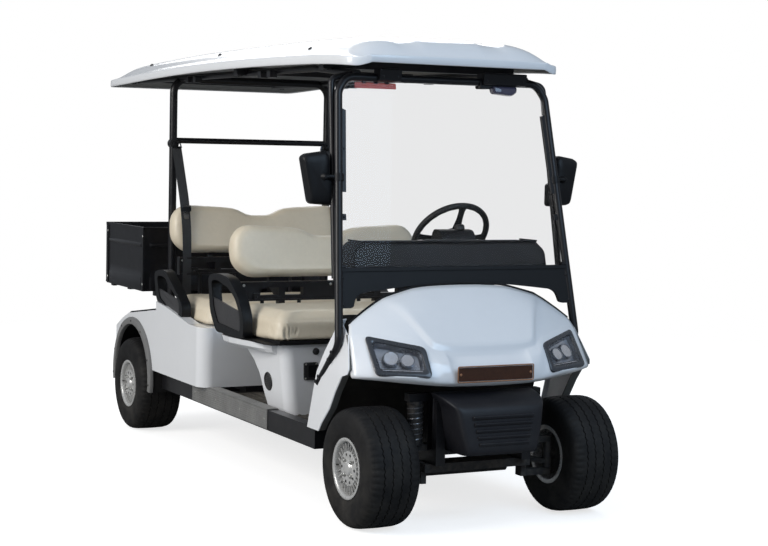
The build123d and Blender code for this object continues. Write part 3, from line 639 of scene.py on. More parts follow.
# The tread's zigzag grooves: middle of the groove, half width, depth
TYRE_GROOVES = ((54, 2.8, 4.2), (19, 2.5, 4.0))
NOTCH_ROWS = {11: 0.6, 12: 1.8, 13: 1.6, 14: 0.4}
PITCHES = 56
PITCH_STEPS = (0.0, 0.3, 0.5, 0.62, 0.9)
NOTCH_STEPS = (0.62, 0.9)
ZIGZAG = 2.6
SPOKES = 26
# Drill holes in the hub, shown as dark discs of painted shade
DRILLINGS = 10
DRILLING_RADIUS = 53
NUTS = 4
NUT_RADIUS = 38


def wheel_place(node):
    """A matrix that moves to the middle of a CAD wheel, in millimetres."""
    low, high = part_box(node)
    return Matrix.Translation((low + high) / 2 / MM)


def tread_rows():
    """The tread from the shoulder across the middle: (out, radius, zigzag share)."""
    rows = []
    for middle, half, depth in TYRE_GROOVES:
        top = 228.2 - (middle / 108) ** 2 * 4
        rows += [(middle + half, top, 1), (middle + half * 0.55, top - depth, 1),
                 (middle - half * 0.55, top - depth, 1), (middle - half, top + 0.2, 1)]
    return rows + [(8, 228.4, 0)]


def tyre_shape():
    """A tyre about the X axis: its side walls, notched shoulders and a tread with two zigzag grooves a side."""
    half = [(out, radius, 0, i) for i, (out, radius) in enumerate(TYRE_WALL)]
    half += [(out, radius, share, -1) for out, radius, share in tread_rows()]
    section = half + [(-out, radius, share, i) for out, radius, share, i in reversed(half)]
    columns = []
    for pitch in range(PITCHES):
        for step in PITCH_STEPS:
            turn = 2 * math.pi * (pitch + step) / PITCHES
            zigzag = ZIGZAG * (1 - 4 * abs(step - 0.5))
            column = []
            for out, radius, share, row in section:
                reach = radius - (NOTCH_ROWS.get(row, 0) if step in NOTCH_STEPS else 0)
                column.append((out + zigzag * share, reach * math.cos(turn), reach * math.sin(turn)))
            columns.append(column)
    return skin(columns, loop_rows=True, loop_columns=True)


def spoke(angle, width, ends):
    """A thin flat spoke; each end is given as its radius and its distance out."""
    points = []
    across = Vector((0, -math.sin(angle), math.cos(angle)))
    for radius, out in ends:
        middle = Vector((out, radius * math.cos(angle), radius * math.sin(angle)))
        for side, depth in ((-1, -3), (1, -3), (0.6, 2.2), (-0.6, 2.2)):
            points.append(middle + across * side * width / 2 + Vector((depth, 0, 0)))
    return Shape().add(points, [(0, 1, 5, 4), (1, 2, 6, 5), (2, 3, 7, 6), (3, 0, 4, 7), (3, 2, 1, 0), (4, 5, 6, 7)])


def rim_shape():
    """Wheel with a bright outer ring, thin radial spokes, an inner disc whose drill holes are dark discs painted on as
    shade, a cap and a dark drum behind.
    """
    ring = [(78, 97), (84, 99.5), (92, 100.5), (97.5, 101.5), (101, 104), (103, 108), (103.6, 113), (102.5, 116),
            (99, 116), (98.2, 108), (97.8, 104), (-98, 104), (-98, 116), (-103, 116), (-103.6, 110), (-100, 99),
            (40, 96)]
    shape = lathe(ring, 72, closed=True)
    shape.merge(lathe([(52, 22), (56, 92), (60, 97), (40, 98), (40, 22)], 48, closed=True), 1)
    for angle in around(SPOKES):
        shape.merge(spoke(angle, 4.2, ((62, 90), (99, 87))))
    # Dark discs on the hub's face stand in for its drill holes: painted shade, no hole is cut
    shaded_hole_disc = lathe([(-4, 5.6), (0.8, 5.6), (0.8, 0.5)], 14)
    for angle in around(DRILLINGS):
        shape.merge(shaded_hole_disc.moved(92.6, DRILLING_RADIUS * math.cos(angle), DRILLING_RADIUS * math.sin(angle)), 1)
    hub = [(58, 66), (88, 66), (91.5, 65), (93, 62), (92.6, 45), (91, 33), (93.5, 29), (99, 26), (101.5, 21),
           (102.5, 8), (102.5, 0.4)]
    shape.merge(lathe(hub, 60))
    nut = lathe([(0, 7.5), (7, 7.5), (9.5, 5.5), (10.5, 2.5)], 6)
    for angle in around(NUTS, 0.5):
        shape.merge(nut.moved(91, NUT_RADIUS * math.cos(angle), NUT_RADIUS * math.sin(angle)), 2)
    valve = lathe([(0, 3.2), (14, 3.0), (16, 2.0)], 10)
    return shape.merge(valve.moved(86, 86, 0), 1)


class GOLFCART_OT_wheels(bpy.types.Operator):
    """Builds the four tyres with grooved treads and the spoked wheels"""

    bl_idname = "golfcart.wheels"
    bl_label = "Wheels"

    def execute(self, context):
        parts = (
            ("tyre", tyre_shape(), ["tyre_rubber"], "tyre_rubber"),
            ("rim", rim_shape(), ["rim_silver", "rim_dark", "zinc_bolt"], "wheel_silver"),
        )
        for place, side, body in WHEELS:
            matrix = wheel_place(f"tyre_{place}") @ Matrix.Scale(side, 4, (1, 0, 0))
            for part, shape, finishes, slot in parts:
                piece(f"{part}_{place}_dressed", shape.turned(matrix), finishes, body,
                      replaces=f"{part}_{place}", sharp=38)
        return {"FINISHED"}


# ---- front body ------------------------------------------------------------------------
# Hood columns from the middle outwards. Rows run from the lip under the nose, over the top, to the rear edge:
# lip back, lip under, nose low, lamp low, lamp high, crease, two rows on top, rear edge, turned-down rear edge
HOOD_MIDDLE = ((0, -1500, 545), (0, -1522, 533), (0, -1545, 546), (0, -1549, 558), (0, -1543, 618), (0, -1478, 660),
               (0, -1410, 735), (0, -1335, 823), (0, -1262, 903), (0, -1250, 885))
HOOD_COLUMNS = (
    HOOD_MIDDLE,
    ((165, -1492, 548), (165, -1514, 536), (165, -1538, 549), (165, -1541, 560), (165, -1534, 619), (165, -1476, 664),
     (175, -1408, 738), (185, -1334, 823), (190, -1264, 896), (190, -1252, 878)),
    ((205, -1488, 549), (205, -1509, 539), (205, -1534, 551), (205, -1537, 565), (205, -1527, 621), (214, -1469, 673),
     (250, -1401, 745), (298, -1330, 822), (335, -1269, 858), (335, -1256, 842)),
    ((225, -1486, 550), (225, -1507, 540), (225, -1532, 552), (225, -1534, 567), (225, -1523, 623), (232, -1464, 677),
     (270, -1398, 744), (318, -1326, 817), (352, -1270, 848), (352, -1257, 832)),
    ((262, -1478, 552), (262, -1497, 543), (262, -1527, 557), (262, -1536, 577), (260, -1466, 681), (268, -1438, 705),
     (305, -1390, 740), (345, -1320, 806), (375, -1272, 836), (375, -1259, 820)),
    ((360, -1452, 560), (360, -1474, 553), (360, -1500, 565), (360, -1510, 581), (360, -1415, 700), (358, -1390, 722),
     (370, -1354, 756), (390, -1309, 797), (410, -1275, 814), (410, -1262, 798)),
    ((461, -1408, 570), (461, -1432, 563), (461, -1457, 573), (461, -1464, 585), (459, -1355, 720), (452, -1336, 734),
     (450, -1318, 750), (450, -1299, 770), (450, -1279, 788), (450, -1266, 772)),
    ((515, -1370, 578), (523, -1386, 566), (530, -1390, 574), (530, -1384, 588), (507, -1320, 714), (504, -1312, 724),
     (500, -1304, 735), (496, -1296, 746), (492, -1284, 757), (488, -1270, 742)),
)
# Rows once hood_cage has put its two in
HOOD_ROWS = 12
LAMP_COLUMNS = (5, 6)
LAMP_ROW = 3
PANEL_RISE = 11
PANEL_COLUMNS = 3
PLATE_SINK = 9
DAMPER_AT = (255, -1390)
# Side of the body below the hood: front edge then rear edge, top to bottom, as (y, z)
SHIELD_FRONT = ((-1312, 722), (-1350, 660), (-1384, 600), (-1378, 580), (-1338, 568), (-1285, 505), (-1236, 432),
                (-1165, 364), (-1140, 332))
SHIELD_REAR = ((-1216, 772), (-1204, 745), (-1183, 704), (-1160, 660), (-1143, 622), (-1118, 562), (-1090, 490),
               (-1062, 405), (-1037, 332))


def shield_x(z):
    """The body side's distance out at a height: upright low down, drawn in towards the hood."""
    return 544 - 0.25 * max(0, z - 575)


def hood_cage():
    """The hood's columns with its middle panel raised above the nose and a recess sunk in above the plate."""
    columns = [[Vector(p) for p in column] for column in HOOD_COLUMNS]
    columns.insert(2, [a.lerp(b, 0.3) for a, b in zip(columns[1], columns[2])])
    for column in columns:
        column.insert(5, column[4].lerp(column[5], 0.8))
        column.insert(7, column[6].lerp(column[7], 0.2))
    for column in columns[:PANEL_COLUMNS + 1]:
        for row in (7, 8, 9):
            column[row] += Vector((0, -0.62, 0.78)) * PANEL_RISE
    for column in columns[:2]:
        for row in (4, 5):
            column[row] += Vector((0, 0.54, -0.84)) * PLATE_SINK
    return columns


def hood_shape():
    """The whole hood shell with its lamp openings left out."""
    columns = hood_cage()
    rows = [[column[r] for column in columns] for r in range(HOOD_ROWS)]
    return skin(rows, skip={(LAMP_ROW, c) for c in LAMP_COLUMNS}).both()


def hood_crease(a, b):
    """Holds the hood's seams: lamp openings, lip, rear edge, the raised panel's ridge and the plate's recess."""
    columns = hood_cage()
    edge = PANEL_COLUMNS
    seams = (
        ([columns[c][r] for c in (5, 6, 7) for r in (3, 4)], 0.85),
        ([column[1] for column in columns], 0.6),
        ([column[10] for column in columns], 0.55),
        ([columns[edge][r] for r in (7, 8, 9)] + [columns[c][7] for c in range(edge)], 0.6),
        ([columns[edge + 1][r] for r in (6, 7, 8, 9)] + [columns[c][6] for c in range(edge + 1)], 0.5),
        ([columns[1][r] for r in (4, 5)] + [columns[0][5]], 0.6),
        ([columns[2][r] for r in (4, 5, 6)], 0.5),
    )
    ends = [Vector((abs(p.x), p.y, p.z)) for p in (a, b)]
    for points, value in seams:
        if all(min((end - p).length for p in points) < 2 for end in ends):
            return value
    return 0.0


def lamp_outline(depth_in, inset):
    """The lamp opening's four corners, moved in along the lamp and drawn in by the inset."""
    corners = [Vector(HOOD_COLUMNS[column][row]) for column, row in ((4, 3), (6, 3), (6, 4), (4, 4))]
    middle = sum(corners, Vector()) / 4
    normal = (corners[1] - corners[0]).cross(corners[3] - corners[0]).normalized()
    normal = normal if normal.y < 0 else -normal
    out = []
    for i, corner in enumerate(corners):
        to_next = (corners[(i + 1) % 4] - corner).normalized()
        to_last = (corners[i - 1] - corner).normalized()
        out.append(corner + (to_next + to_last) * inset - normal * depth_in)
    return out, middle, normal


def ring_of(corners, radius, steps=5):
    """A closed loop through four corners with rounded turns, in 3D."""
    out = []
    for i, here in enumerate(corners):
        before = corners[i - 1] - here
        after = corners[(i + 1) % 4] - here
        out += bend_points(here + before.normalized() * radius, here, here + after.normalized() * radius, steps)
    return out


def bulged(loop, middle, normal, amount, reach=125.0):
    """Pushes a loop's points out along the normal, most near the middle, as a curved lens does."""
    return [p + normal * amount * max(0.0, 1 - ((p - middle).length / reach) ** 2) for p in loop]


def lamp_pieces():
    """Left lamp: dark bezel, housing bowl, two hooded reflectors with bulbs and the clear cover."""
    rings = []
    for depth, inset, radius in ((6, -1, 22), (-3, -1, 22), (-6, 4, 24), (-5, 18, 23), (-1, 21, 21), (6, 22, 20)):
        corners, middle, normal = lamp_outline(depth, inset)
        rings.append(bulged(ring_of(corners, radius), middle, normal, 5))
    bezel = skin(rings, loop_columns=True, paint=0)
    bowl_rings = [rings[-1]]
    for depth, inset, radius in ((30, 25, 17), (42, 32, 12)):
        corners, middle, normal = lamp_outline(depth, inset)
        bowl_rings.append(ring_of(corners, radius))
    bowl = skin(bowl_rings, loop_columns=True, paint=1)
    bowl.fan(bowl_rings[-1], 1)
    corners, middle, normal = lamp_outline(0, 0)
    across = ((corners[1] + corners[2]) / 2 - (corners[0] + corners[3]) / 2).normalized()
    for offset, size in ((-31, 24), (31, 27)):
        place = pointing(middle + across * offset - normal * 15 + Vector((0, 0, 3)), normal)
        hood = [(-14, size + 4), (3, size + 3), (4, size + 1.5), (3, size), (-2, size - 0.5)]
        bowl.merge(lathe(hood, 36, closed=True).turned(place), 1)
        cup = [(0, size - 1), (-8, size * 0.86), (-16, size * 0.66), (-22, size * 0.42), (-25, size * 0.2)]
        bowl.merge(lathe(cup, 24).turned(place), 2)
        bulb = [(-18, 4.5), (-9, 5.5), (-6, 4.5), (-4.5, 1.5)]
        bowl.merge(lathe(bulb, 16).turned(place), 3)
    lower = [Vector(p) for p in lamp_outline(22, 29)[0][:2]]
    bowl.merge(tube([lower[0] + Vector((0, 0, 2)), lower[1] + Vector((0, 0, 2))], 5, sides=8), 2)
    cover_rings = []
    for share in (1.0, 0.82, 0.6, 0.36, 0.14):
        corners, middle, normal = lamp_outline(0, 20)
        loop = ring_of(corners, 21)
        loop = [middle + (p - middle) * share for p in loop]
        cover_rings.append(bulged(loop, middle, normal, 9))
    return bezel.merge(bowl), skin(cover_rings, loop_columns=True).fan(cover_rings[-1])


def shield_shape():
    """Left body side under the hood: outer face, rear flange and the white lip turned in along the front edge, coloured
    dark grey as painted shade.
    """
    front = [Vector((shield_x(z), y, z)) for y, z in SHIELD_FRONT]
    rear = [Vector((shield_x(z), y, z)) for y, z in SHIELD_REAR]
    middle = [(f + r) / 2 + Vector((1.5, 0, 0)) for f, r in zip(front, rear)]
    edge = [p + Vector((-3, -2.5, 0)) for p in front]
    inner = [Vector((max(p.x - 34, 510), p.y + 4, p.z)) for p in front]
    rear_in = [p + Vector((-26, 0, 0)) for p in rear]
    outer = skin([inner, edge, front, middle, rear, rear_in])
    # The turned-in lip's faces take the dark grey of painted shade
    shaded_lip_faces = len(front) - 1
    outer.paints[:shaded_lip_faces] = [1] * shaded_lip_faces
    return outer


def bumper_shape():
    """Front bumper: a rounded moulding, full width at the top and drawn in lower down; the five slots are left by the
    louvres of slot_bars.
    """
    outline = ((-1448, 509, 217), (-1485, 509, 217), (-1545, 500, 214), (-1594, 478, 205), (-1612, 462, 192),
               (-1619, 420, 185), (-1624, 380, 178), (-1630, 335, 168), (-1634, 303, 158), (-1624, 289, 154),
               (-1600, 284, 152), (-1560, 292, 152), (-1500, 316, 152), (-1452, 336, 152))
    rows = []
    for y, z, half in outline:
        turn = 26 if z > 300 else 18
        row = []
        for x, back in ((0, 0), (half * 0.5, 0.5), (half - turn, 3), (half - turn * 0.3, 10), (half, turn)):
            row.append(Vector((x, min(y + back, -1446), z)))
        row.append(Vector((half + 3, max(min(y + 70, -1440), -1550), z)))
        row.append(Vector((half + 3, -1442, z)))
        rows.append(row)
    return skin(rows).both()


def slot_bars():
    """Raised louvres on the bumper's lower face, which leave dark slots between them, and its carrier plate behind."""
    carrier = [(-212, 512), (-212, 420), (-204, 330), (-200, 268), (200, 268), (204, 330), (212, 420), (212, 512)]
    shape = prism(rounded(carrier, 12), "y", -1458, -1448)
    for i in range(5):
        z = 430 - i * 25
        y = -1617 - (462 - z) * 0.11
        half = 132 - i * 6
        section = [(y + 8, z + 9), (y - 4.5, z + 7.5), (y - 6, z + 3), (y - 2, z - 6), (y + 8, z - 8)]
        shape.merge(prism(section, "x", -half, half))
    return shape


def spring_shape(x, y, low, high, radius, wire, turns, turn_steps=16):
    """An upright coil between two heights."""
    path = []
    count = turns * turn_steps
    for i in range(count + 1):
        angle = 2 * math.pi * i / turn_steps
        path.append((x + radius * math.cos(angle), y + radius * math.sin(angle), low + (high - low) * i / count))
    return tube(path, wire, sides=8)


class GOLFCART_OT_front_body(bpy.types.Operator):
    """Builds the hood, body sides, lamps, plate, bumper and the sprung dampers behind it"""

    bl_idname = "golfcart.front_body"
    bl_label = "Front body"

    def execute(self, context):
        hood = piece("hood_shell", hood_shape(), "white_panel", replaces="front_cowl", subdivide=2,
                     crease=hood_crease, wall=4)
        hood.modifiers.move(0, 1)
        # The side panels' second finish is the dark grey painted shade on their turned-in lip
        piece("body_side_panels", shield_shape().both(), ["white_panel", "painted_shade_grey"],
              replaces="front_cowl", bevel=4, rings=3, wall=4)
        seal = [Vector(column[8]) + Vector((0, 4, 2)) for column in HOOD_COLUMNS]
        seal = [Vector((-p.x, p.y, p.z)) for p in reversed(seal[1:])] + seal
        piece("hood_rear_seal", tube(seal, 4.5, bend=30, sides=10), "seal_rubber")
        lamp, cover = lamp_pieces()
        piece("headlamp_units", lamp.both(), ["lamp_housing", "lamp_satin", "lamp_chrome", "rim_silver"],
              replaces="headlights", sharp=50)
        piece("headlamp_covers", cover.both(), "lens_glass", replaces="headlights", sharp=60)
        low, high = (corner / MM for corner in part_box("number_plate"))
        face = rounded(rect((low.x + 4, high.x - 4), (low.z + 4, high.z - 4)), 3)
        plate = prism(face, "y", low.y - 1, low.y + 8)
        edge = rounded(rect((low.x, high.x), (low.z, high.z)), 6)
        frame_loop = tube([(x, low.y - 0.5, z) for x, z in edge], 2.6, sides=8, closed=True)
        plate.merge(frame_loop, 1)
        for x in (low.x + 12, high.x - 12):
            plate.merge(bolt((x, low.y - 0.5, (low.z + high.z) / 2), FORWARD, 4, 2.5), 1)
        piece("front_plate", plate, ["plate_brown", "copper_edge"], replaces="number_plate", bevel=1)
        piece("bumper_moulding", bumper_shape(), "bumper_plastic", replaces="front_bumper",
              subdivide=2, wall=5)
        piece("bumper_louvres", slot_bars(), "bumper_plastic", bevel=2.5)
        springs = Shape()
        for side in (1, -1):
            springs.merge(spring_shape(side * DAMPER_AT[0], DAMPER_AT[1], 312, 452, 28, 3.8, 7))
        piece("front_coil_springs", springs, "spring_steel")
        cups = Shape()
        cup = lathe([(-4, 12), (-4, 31), (2, 33), (4, 31), (4, 12)], 28, closed=True)
        for z in (306, 458):
            cups.merge(cup.turned(pointing((*DAMPER_AT, z), UPWARD)))
        piece("front_spring_cups", cups.both(), "running_gear", sharp=40)
        return {"FINISHED"}


# ---- windscreen ------------------------------------------------------------------------
# The screen's plane leans back and its posts draw together, per millimetre of height.
SCREEN_LEAN = 0.193
SCREEN_TAPER = 0.062
SCREEN_AT = (513, -1243, 900)
HINGE_Z = 967
SCREEN_TOP_Z = 1697


def screen_x(z):
    """How far out the screen's post stands at a height."""
    return SCREEN_AT[0] - SCREEN_TAPER * (z - SCREEN_AT[2])


def screen_y(z):
    """Where the screen's leaning plane is at a height."""
    return SCREEN_AT[1] + SCREEN_LEAN * (z - SCREEN_AT[2])


def leaned(shape):
    """Moves a shape drawn upright at y 0 onto the windscreen's leaning plane."""
    out = Shape().merge(shape)
    out.points = [Vector((p.x, p.y + screen_y(p.z), p.z)) for p in out.points]
    return out


def mirrored_outline(half):
    return half + [(-a, b) for a, b in reversed(half)]


def lower_panel_shape():
    """Black panel under the glass: notched foot and folded top edge."""
    half = [(0, 904), (150, 903), (330, 884), (425, 873), (446, 862), (456, 845), (462, 822), (474, 817),
            (screen_x(817) - 1, 817), (screen_x(HINGE_Z) - 1, HINGE_Z)]
    radii = [0, 0, 30, 16, 10, 10, 8, 4, 8, 2]
    outline = rounded(mirrored_outline(half), radii + list(reversed(radii)), 3)
    shape = prism(outline, "y", -8, 10)
    lip = rect((2 - screen_x(HINGE_Z), screen_x(HINGE_Z) - 2), (HINGE_Z - 12, HINGE_Z + 2))
    return leaned(shape.merge(prism(lip, "y", -13, 4)))


def screen_fittings():
    """Hinge knuckles, bolts, glass clips, the strips along the posts and the two clamps over the top tube."""
    shape = Shape()
    for side in (1, -1):
        for z in (930, 829):
            x = side * (screen_x(z) - 9)
            shape.merge(bolt((x, screen_y(z) - 8, z), FORWARD, 5.5, 4))
        x = screen_x(HINGE_Z) - 8
        knuckle = lathe([(-16, 0.5), (-16, 9), (-3, 9), (-3, 10.5), (3, 10.5), (3, 9), (16, 9), (16, 0.5)], 18)
        shape.merge(knuckle.moved(side * x, screen_y(HINGE_Z) - 4, HINGE_Z + 6))
        for z in (1160, 1420):
            x = screen_x(z) - 14
            shape.merge(leaned(prism(rect((x - 13, x + 13), (z - 12, z + 12)), "y", -7, 7)).on_side(side))
            shape.merge(bolt((side * (x - 4), screen_y(z) - 7, z), FORWARD, 4, 3))
        strip = [(screen_x(1255) - 27, 1255), (screen_x(1255) - 12, 1255), (screen_x(1575) - 12, 1575),
                 (screen_x(1575) - 28, 1568)]
        shape.merge(leaned(prism(strip, "y", -8, 9)).on_side(side))
    top = SCREEN_TOP_Z
    clamp = rounded([(-1122, top - 11), (-1074, top - 11), (-1068, top + 34), (-1128, top + 38)], 8)
    for low, high in ((-300, -205), (165, 365)):
        shape.merge(prism(clamp, "x", low, high))
        for x in (low + 16, high - 16):
            shape.merge(bolt((x, -1124, top + 6), FORWARD, 4, 3))
    return shape


def notice_shape():
    """Blank red label behind the glass with the three clips that carry it."""
    label = leaned(prism(rounded(rect((-392, -212), (1655, 1678)), 4), "y", 6, 9))
    for x in (-352, -300, -252):
        label.merge(leaned(slab((x - 9, x + 9), (5, 14), (1674, 1690))), 1)
    return label


def screen_box_shape():
    """Small black case under the top tube with a tinted, rounded lens."""
    outline = rounded([(172, 1660), (215, 1660), (226, 1672), (352, 1672), (352, 1700), (172, 1700)], 5)
    case = leaned(prism(outline, "y", -20, 26))
    rows = []
    for out, share in ((0, 1.0), (-9, 0.96), (-16, 0.84), (-20, 0.6), (-21, 0.25)):
        outline = rounded([(232, 1642), (318, 1634), (345, 1650), (347, 1674), (226, 1674)], 10, 3)
        rows.append([(278 + (x - 278) * share, -6 + out, 1658 + (z - 1658) * share) for x, z in outline])
    back = [(x, 12, z) for x, _, z in rows[0]]
    lens = skin([back] + rows, loop_columns=True).cap(rows[-1]).cap(back, flip=True)
    return case.merge(leaned(lens), 1).moved(x=-14, y=2, z=10)


class GOLFCART_OT_windscreen(bpy.types.Operator):
    """Builds the lower panel, its fittings and the small things on the glass"""

    bl_idname = "golfcart.windscreen"
    bl_label = "Windscreen"

    def execute(self, context):
        piece("screen_lower_panel", lower_panel_shape(), "dark_plastic",
              replaces="windshield_lower_panel", bevel=2.5, rings=3)
        piece("screen_fittings", screen_fittings(), "black_steel", bevel=1.2)
        piece("glass_notice", notice_shape(), ["notice_red", "dark_plastic"], bevel=0.8)
        piece("screen_box", screen_box_shape(), ["dark_plastic", "box_lens"], bevel=2, rings=3)
        feet = Shape()
        for y, z in ((-1262, 652), (-1236, 620), (-1150, 545), (-1128, 523)):
            feet.merge(bolt((553, y, z), LEFTWARD, 6, 5))
        piece("post_foot_bolts", feet.both(), "black_bolt", sharp=40)
        return {"FINISHED"}


# ---- cockpit ---------------------------------------------------------------------------
WHEEL_CENTRE = Vector((232, -760, 1062))
COLUMN_ANGLE = 38
WHEEL_RADIUS = 165
GRIP_RADIUS = 12.6
GRIP_BUMPS = 24
CUP_HOLDER_X = (-40, 46)
CUP_HOLDER_AT = (-1118, 1061)


def column_matrix():
    """Takes the X axis to the steering column's direction, at the steering wheel's centre."""
    angle = math.radians(COLUMN_ANGLE)
    along = Vector((0, math.cos(angle), math.sin(angle)))
    across = Vector((1, 0, 0))
    up = across.cross(along)
    turn = Matrix((along, across, -up)).transposed().to_4x4()
    return Matrix.Translation(WHEEL_CENTRE) @ turn


def steering_wheel_shape():
    """Padded ring with finger bumps, three dished spokes and a soft hub pad; X is the column's direction."""
    rows = []
    for turn in around(96):
        bump = 0.9 * max(0.0, math.cos(turn * GRIP_BUMPS)) if math.cos(turn) < 0.75 else 0
        row = []
        for a in around(14):
            reach = GRIP_RADIUS + (bump if math.cos(a) < 0.2 else 0)
            radius = WHEEL_RADIUS + reach * math.cos(a)
            row.append((reach * 1.08 * math.sin(a), radius * math.sin(turn), radius * math.cos(turn)))
        rows.append(row)
    wheel = skin(rows, loop_rows=True, loop_columns=True)
    for turn in (90, 180, 270):
        arm = []
        for reach, half, out in ((28, 27, -16), (60, 21, -16), (105, 15, -10), (140, 15, -4), (158, 19, -2)):
            arm.append([(out - 5, -half, reach), (out - 1, -half * 0.6, reach), (out + 1, 0, reach),
                        (out - 1, half * 0.6, reach), (out - 5, half, reach), (out - 9, half * 0.5, reach),
                        (out - 9, -half * 0.5, reach)])
        spoke_arm = skin(arm, loop_columns=True).cap(arm[0]).cap(arm[-1], flip=True)
        wheel.merge(spoke_arm.turned(Matrix.Rotation(math.radians(turn), 4, "X")))
    wheel.merge(lathe([(-38, 30), (-34, 41), (-20, 46), (-8, 47), (-1, 44), (3, 36), (5, 20), (5, 0.5)], 40))
    wheel.merge(lathe([(4.5, 22), (7, 21), (8, 16), (8.4, 0.5)], 32), 1)
    wheel.merge(lathe([(-118, 9), (-60, 9), (-40, 9)], 20), 1)
    return wheel.turned(column_matrix())


def column_shape():
    """Column shroud with a flared pod, two stalks and a bellows boot at the toe board."""
    shroud = lathe([(-452, 20), (-448, 27), (-300, 28), (-215, 30), (-196, 42), (-186, 49), (-120, 53), (-70, 50),
                    (-50, 44), (-46, 30), (-46, 14)], 36)
    boot = [(-460, 52)]
    for i in range(5):
        boot += [(-452 + i * 14, 50 - i * 4.5), (-445 + i * 14, 40 - i * 4.5)]
    shroud.merge(lathe(boot + [(-380, 28)], 32), 1)
    for side, reach, drop in ((1, 118, 6), (-1, 112, 12)):
        stalk = [(-92, side * 44, 12), (-90, side * 84, 4 + drop), (-84, side * reach, drop)]
        shroud.merge(tube(stalk, [6.5, 5, 4.5], sides=12), 1)
        knob = lathe([(-16, 3), (-14, 7), (10, 8), (14, 5), (15, 1)], 16)
        shroud.merge(knob.turned(pointing((-84, side * (reach + 10), drop), (0.05, side, 0))), 1)
    return shroud.turned(column_matrix())


def gauge_pod_shape():
    """Instrument pod that stands on the column before the wheel, with a round knob and a dark screen."""
    outline = rounded([(-958, 962), (-962, 1062), (-938, 1094), (-890, 1098), (-872, 1078), (-852, 968)],
                      [4, 14, 18, 16, 12, 4], 4)
    pod = prism(outline, "x", 82, 242)
    screen = prism(rounded(rect((100, 224), (-34, 34)), 8), "y", -2, 5)
    pod.merge(screen.turned(Matrix.Translation((0, -864, 1026)) @ Matrix.Rotation(math.radians(10), 4, "X")), 1)
    knob = lathe([(-4, 22), (12, 21), (18, 17), (21, 3)], 24)
    pod.merge(knob.turned(pointing((188, -916, 1098), (0, 0.15, 1))), 1)
    return pod


def dashboard_shape():
    """Dash moulding with chamfered ends and a top tray."""
    section = [(-1226, 908), (-1197, 1050), (-1186, 1062), (-1066, 1062), (-1046, 1058), (-1032, 1044), (-1004, 1030),
               (-1000, 1014), (-1000, 940), (-1010, 930), (-1112, 908)]
    rows = []
    for x, drop, draw in ((-430, 46, 30), (-424, 30, 20), (-392, 2, 2), (-372, 0, 0), (0, 0, 0), (372, 0, 0),
                          (392, 2, 2), (424, 30, 20), (430, 46, 30)):
        row = []
        for y, z in section:
            lower = max(0.0, (z - 960) / 102)
            row.append((x, min(y, -1000 - draw) if y > -1060 else y, z - drop * lower))
        rows.append(row)
    return skin(rows, loop_columns=True).cap(rows[0]).cap(rows[-1])


def dashboard_details():
    """Glovebox lid and pull, cup holders, switches and the tray's raised rim."""
    shape = prism(rounded(rect((-330, -96), (948, 1016)), 10), "y", -1001, -995)
    shape.merge(prism(rounded(rect((-232, -194), (958, 968)), 4), "y", -996, -990), 1)
    for x in CUP_HOLDER_X:
        upright = pointing((x, *CUP_HOLDER_AT), UPWARD)
        shape.merge(lathe([(0, 38), (3, 39), (6, 37), (6, 33), (2, 32), (-1, 31)], 32).turned(upright), 1)
        shape.merge(lathe([(-0.5, 31), (0.8, 30), (0.8, 1)], 32).turned(upright), 2)
    for x in (330, 360, 390):
        shape.merge(prism(rounded(rect((x - 11, x + 11), (972, 1008)), 3), "y", -1001, -993), 1)
    switch = lathe([(0, 17), (5, 16.5), (7, 14), (7, 7), (13, 6), (14, 2)], 24)
    shape.merge(switch.turned(pointing((70, -999, 985), BACKWARD)), 1)
    for x in (-392, 392):
        shape.merge(tube([(x, -1190, 1064), (x, -1060, 1064)], 3.5, sides=8))
    return shape.merge(tube([(-392, -1190, 1064), (392, -1190, 1064)], 3.5, sides=8))


def mat_shape():
    """Rubber mat with raised ribs over the floor."""
    shape = slab((-440, 440), (-975, 60), (300, 303))
    for i in range(23):
        x = -418 + i * 38
        shape.merge(prism([(x - 6, 303), (x + 6, 303), (x + 3.5, 306), (x - 3.5, 306)], "y", -955, 40))
    return shape


def pedal_shape():
    """Rubber pads with cross ribs over the two pedal plates."""
    shape = Shape()
    for x, width in ((150, 70), (290, 55)):
        for i in range(6):
            share = (i + 0.5) / 6
            y = -1002 - 32 * share
            z = 404 + 76 * share
            rib = slab((x - width / 2 + 4, x + width / 2 - 4), (-2.5, 4), (-3.2, 3.2))
            shape.merge(rib.turned(Matrix.Translation((0, y + 3, z)) @ Matrix.Rotation(math.radians(22), 4, "X")))
    return shape


class GOLFCART_OT_cockpit(bpy.types.Operator):
    """Builds the dash, steering wheel, column, gauge pod, pedal pads and floor mat"""

    bl_idname = "golfcart.cockpit"
    bl_label = "Cockpit"

    def execute(self, context):
        piece("dash_moulding", dashboard_shape(), "dark_plastic", replaces="dashboard", bevel=6,
              rings=3)
        piece("dash_details", dashboard_details(), ["dark_plastic", "trim_plastic", "seal_rubber"],
              bevel=1.5)
        piece("gauge_pod", gauge_pod_shape(), ["dark_plastic", "trim_plastic"], bevel=3, rings=3)
        piece("steering_grip", steering_wheel_shape(), ["grip_rubber", "trim_plastic"], "steering_wheel",
              replaces="steering_wheel", sharp=50)
        piece("column_shroud", column_shape(), ["dark_plastic", "trim_plastic"],
              replaces="steering_column", sharp=40)
        piece("floor_mat", mat_shape(), "mat_rubber", sharp=30)
        piece("pedal_pads", pedal_shape(), "pedal_rubber", bevel=1)
        return {"FINISHED"}


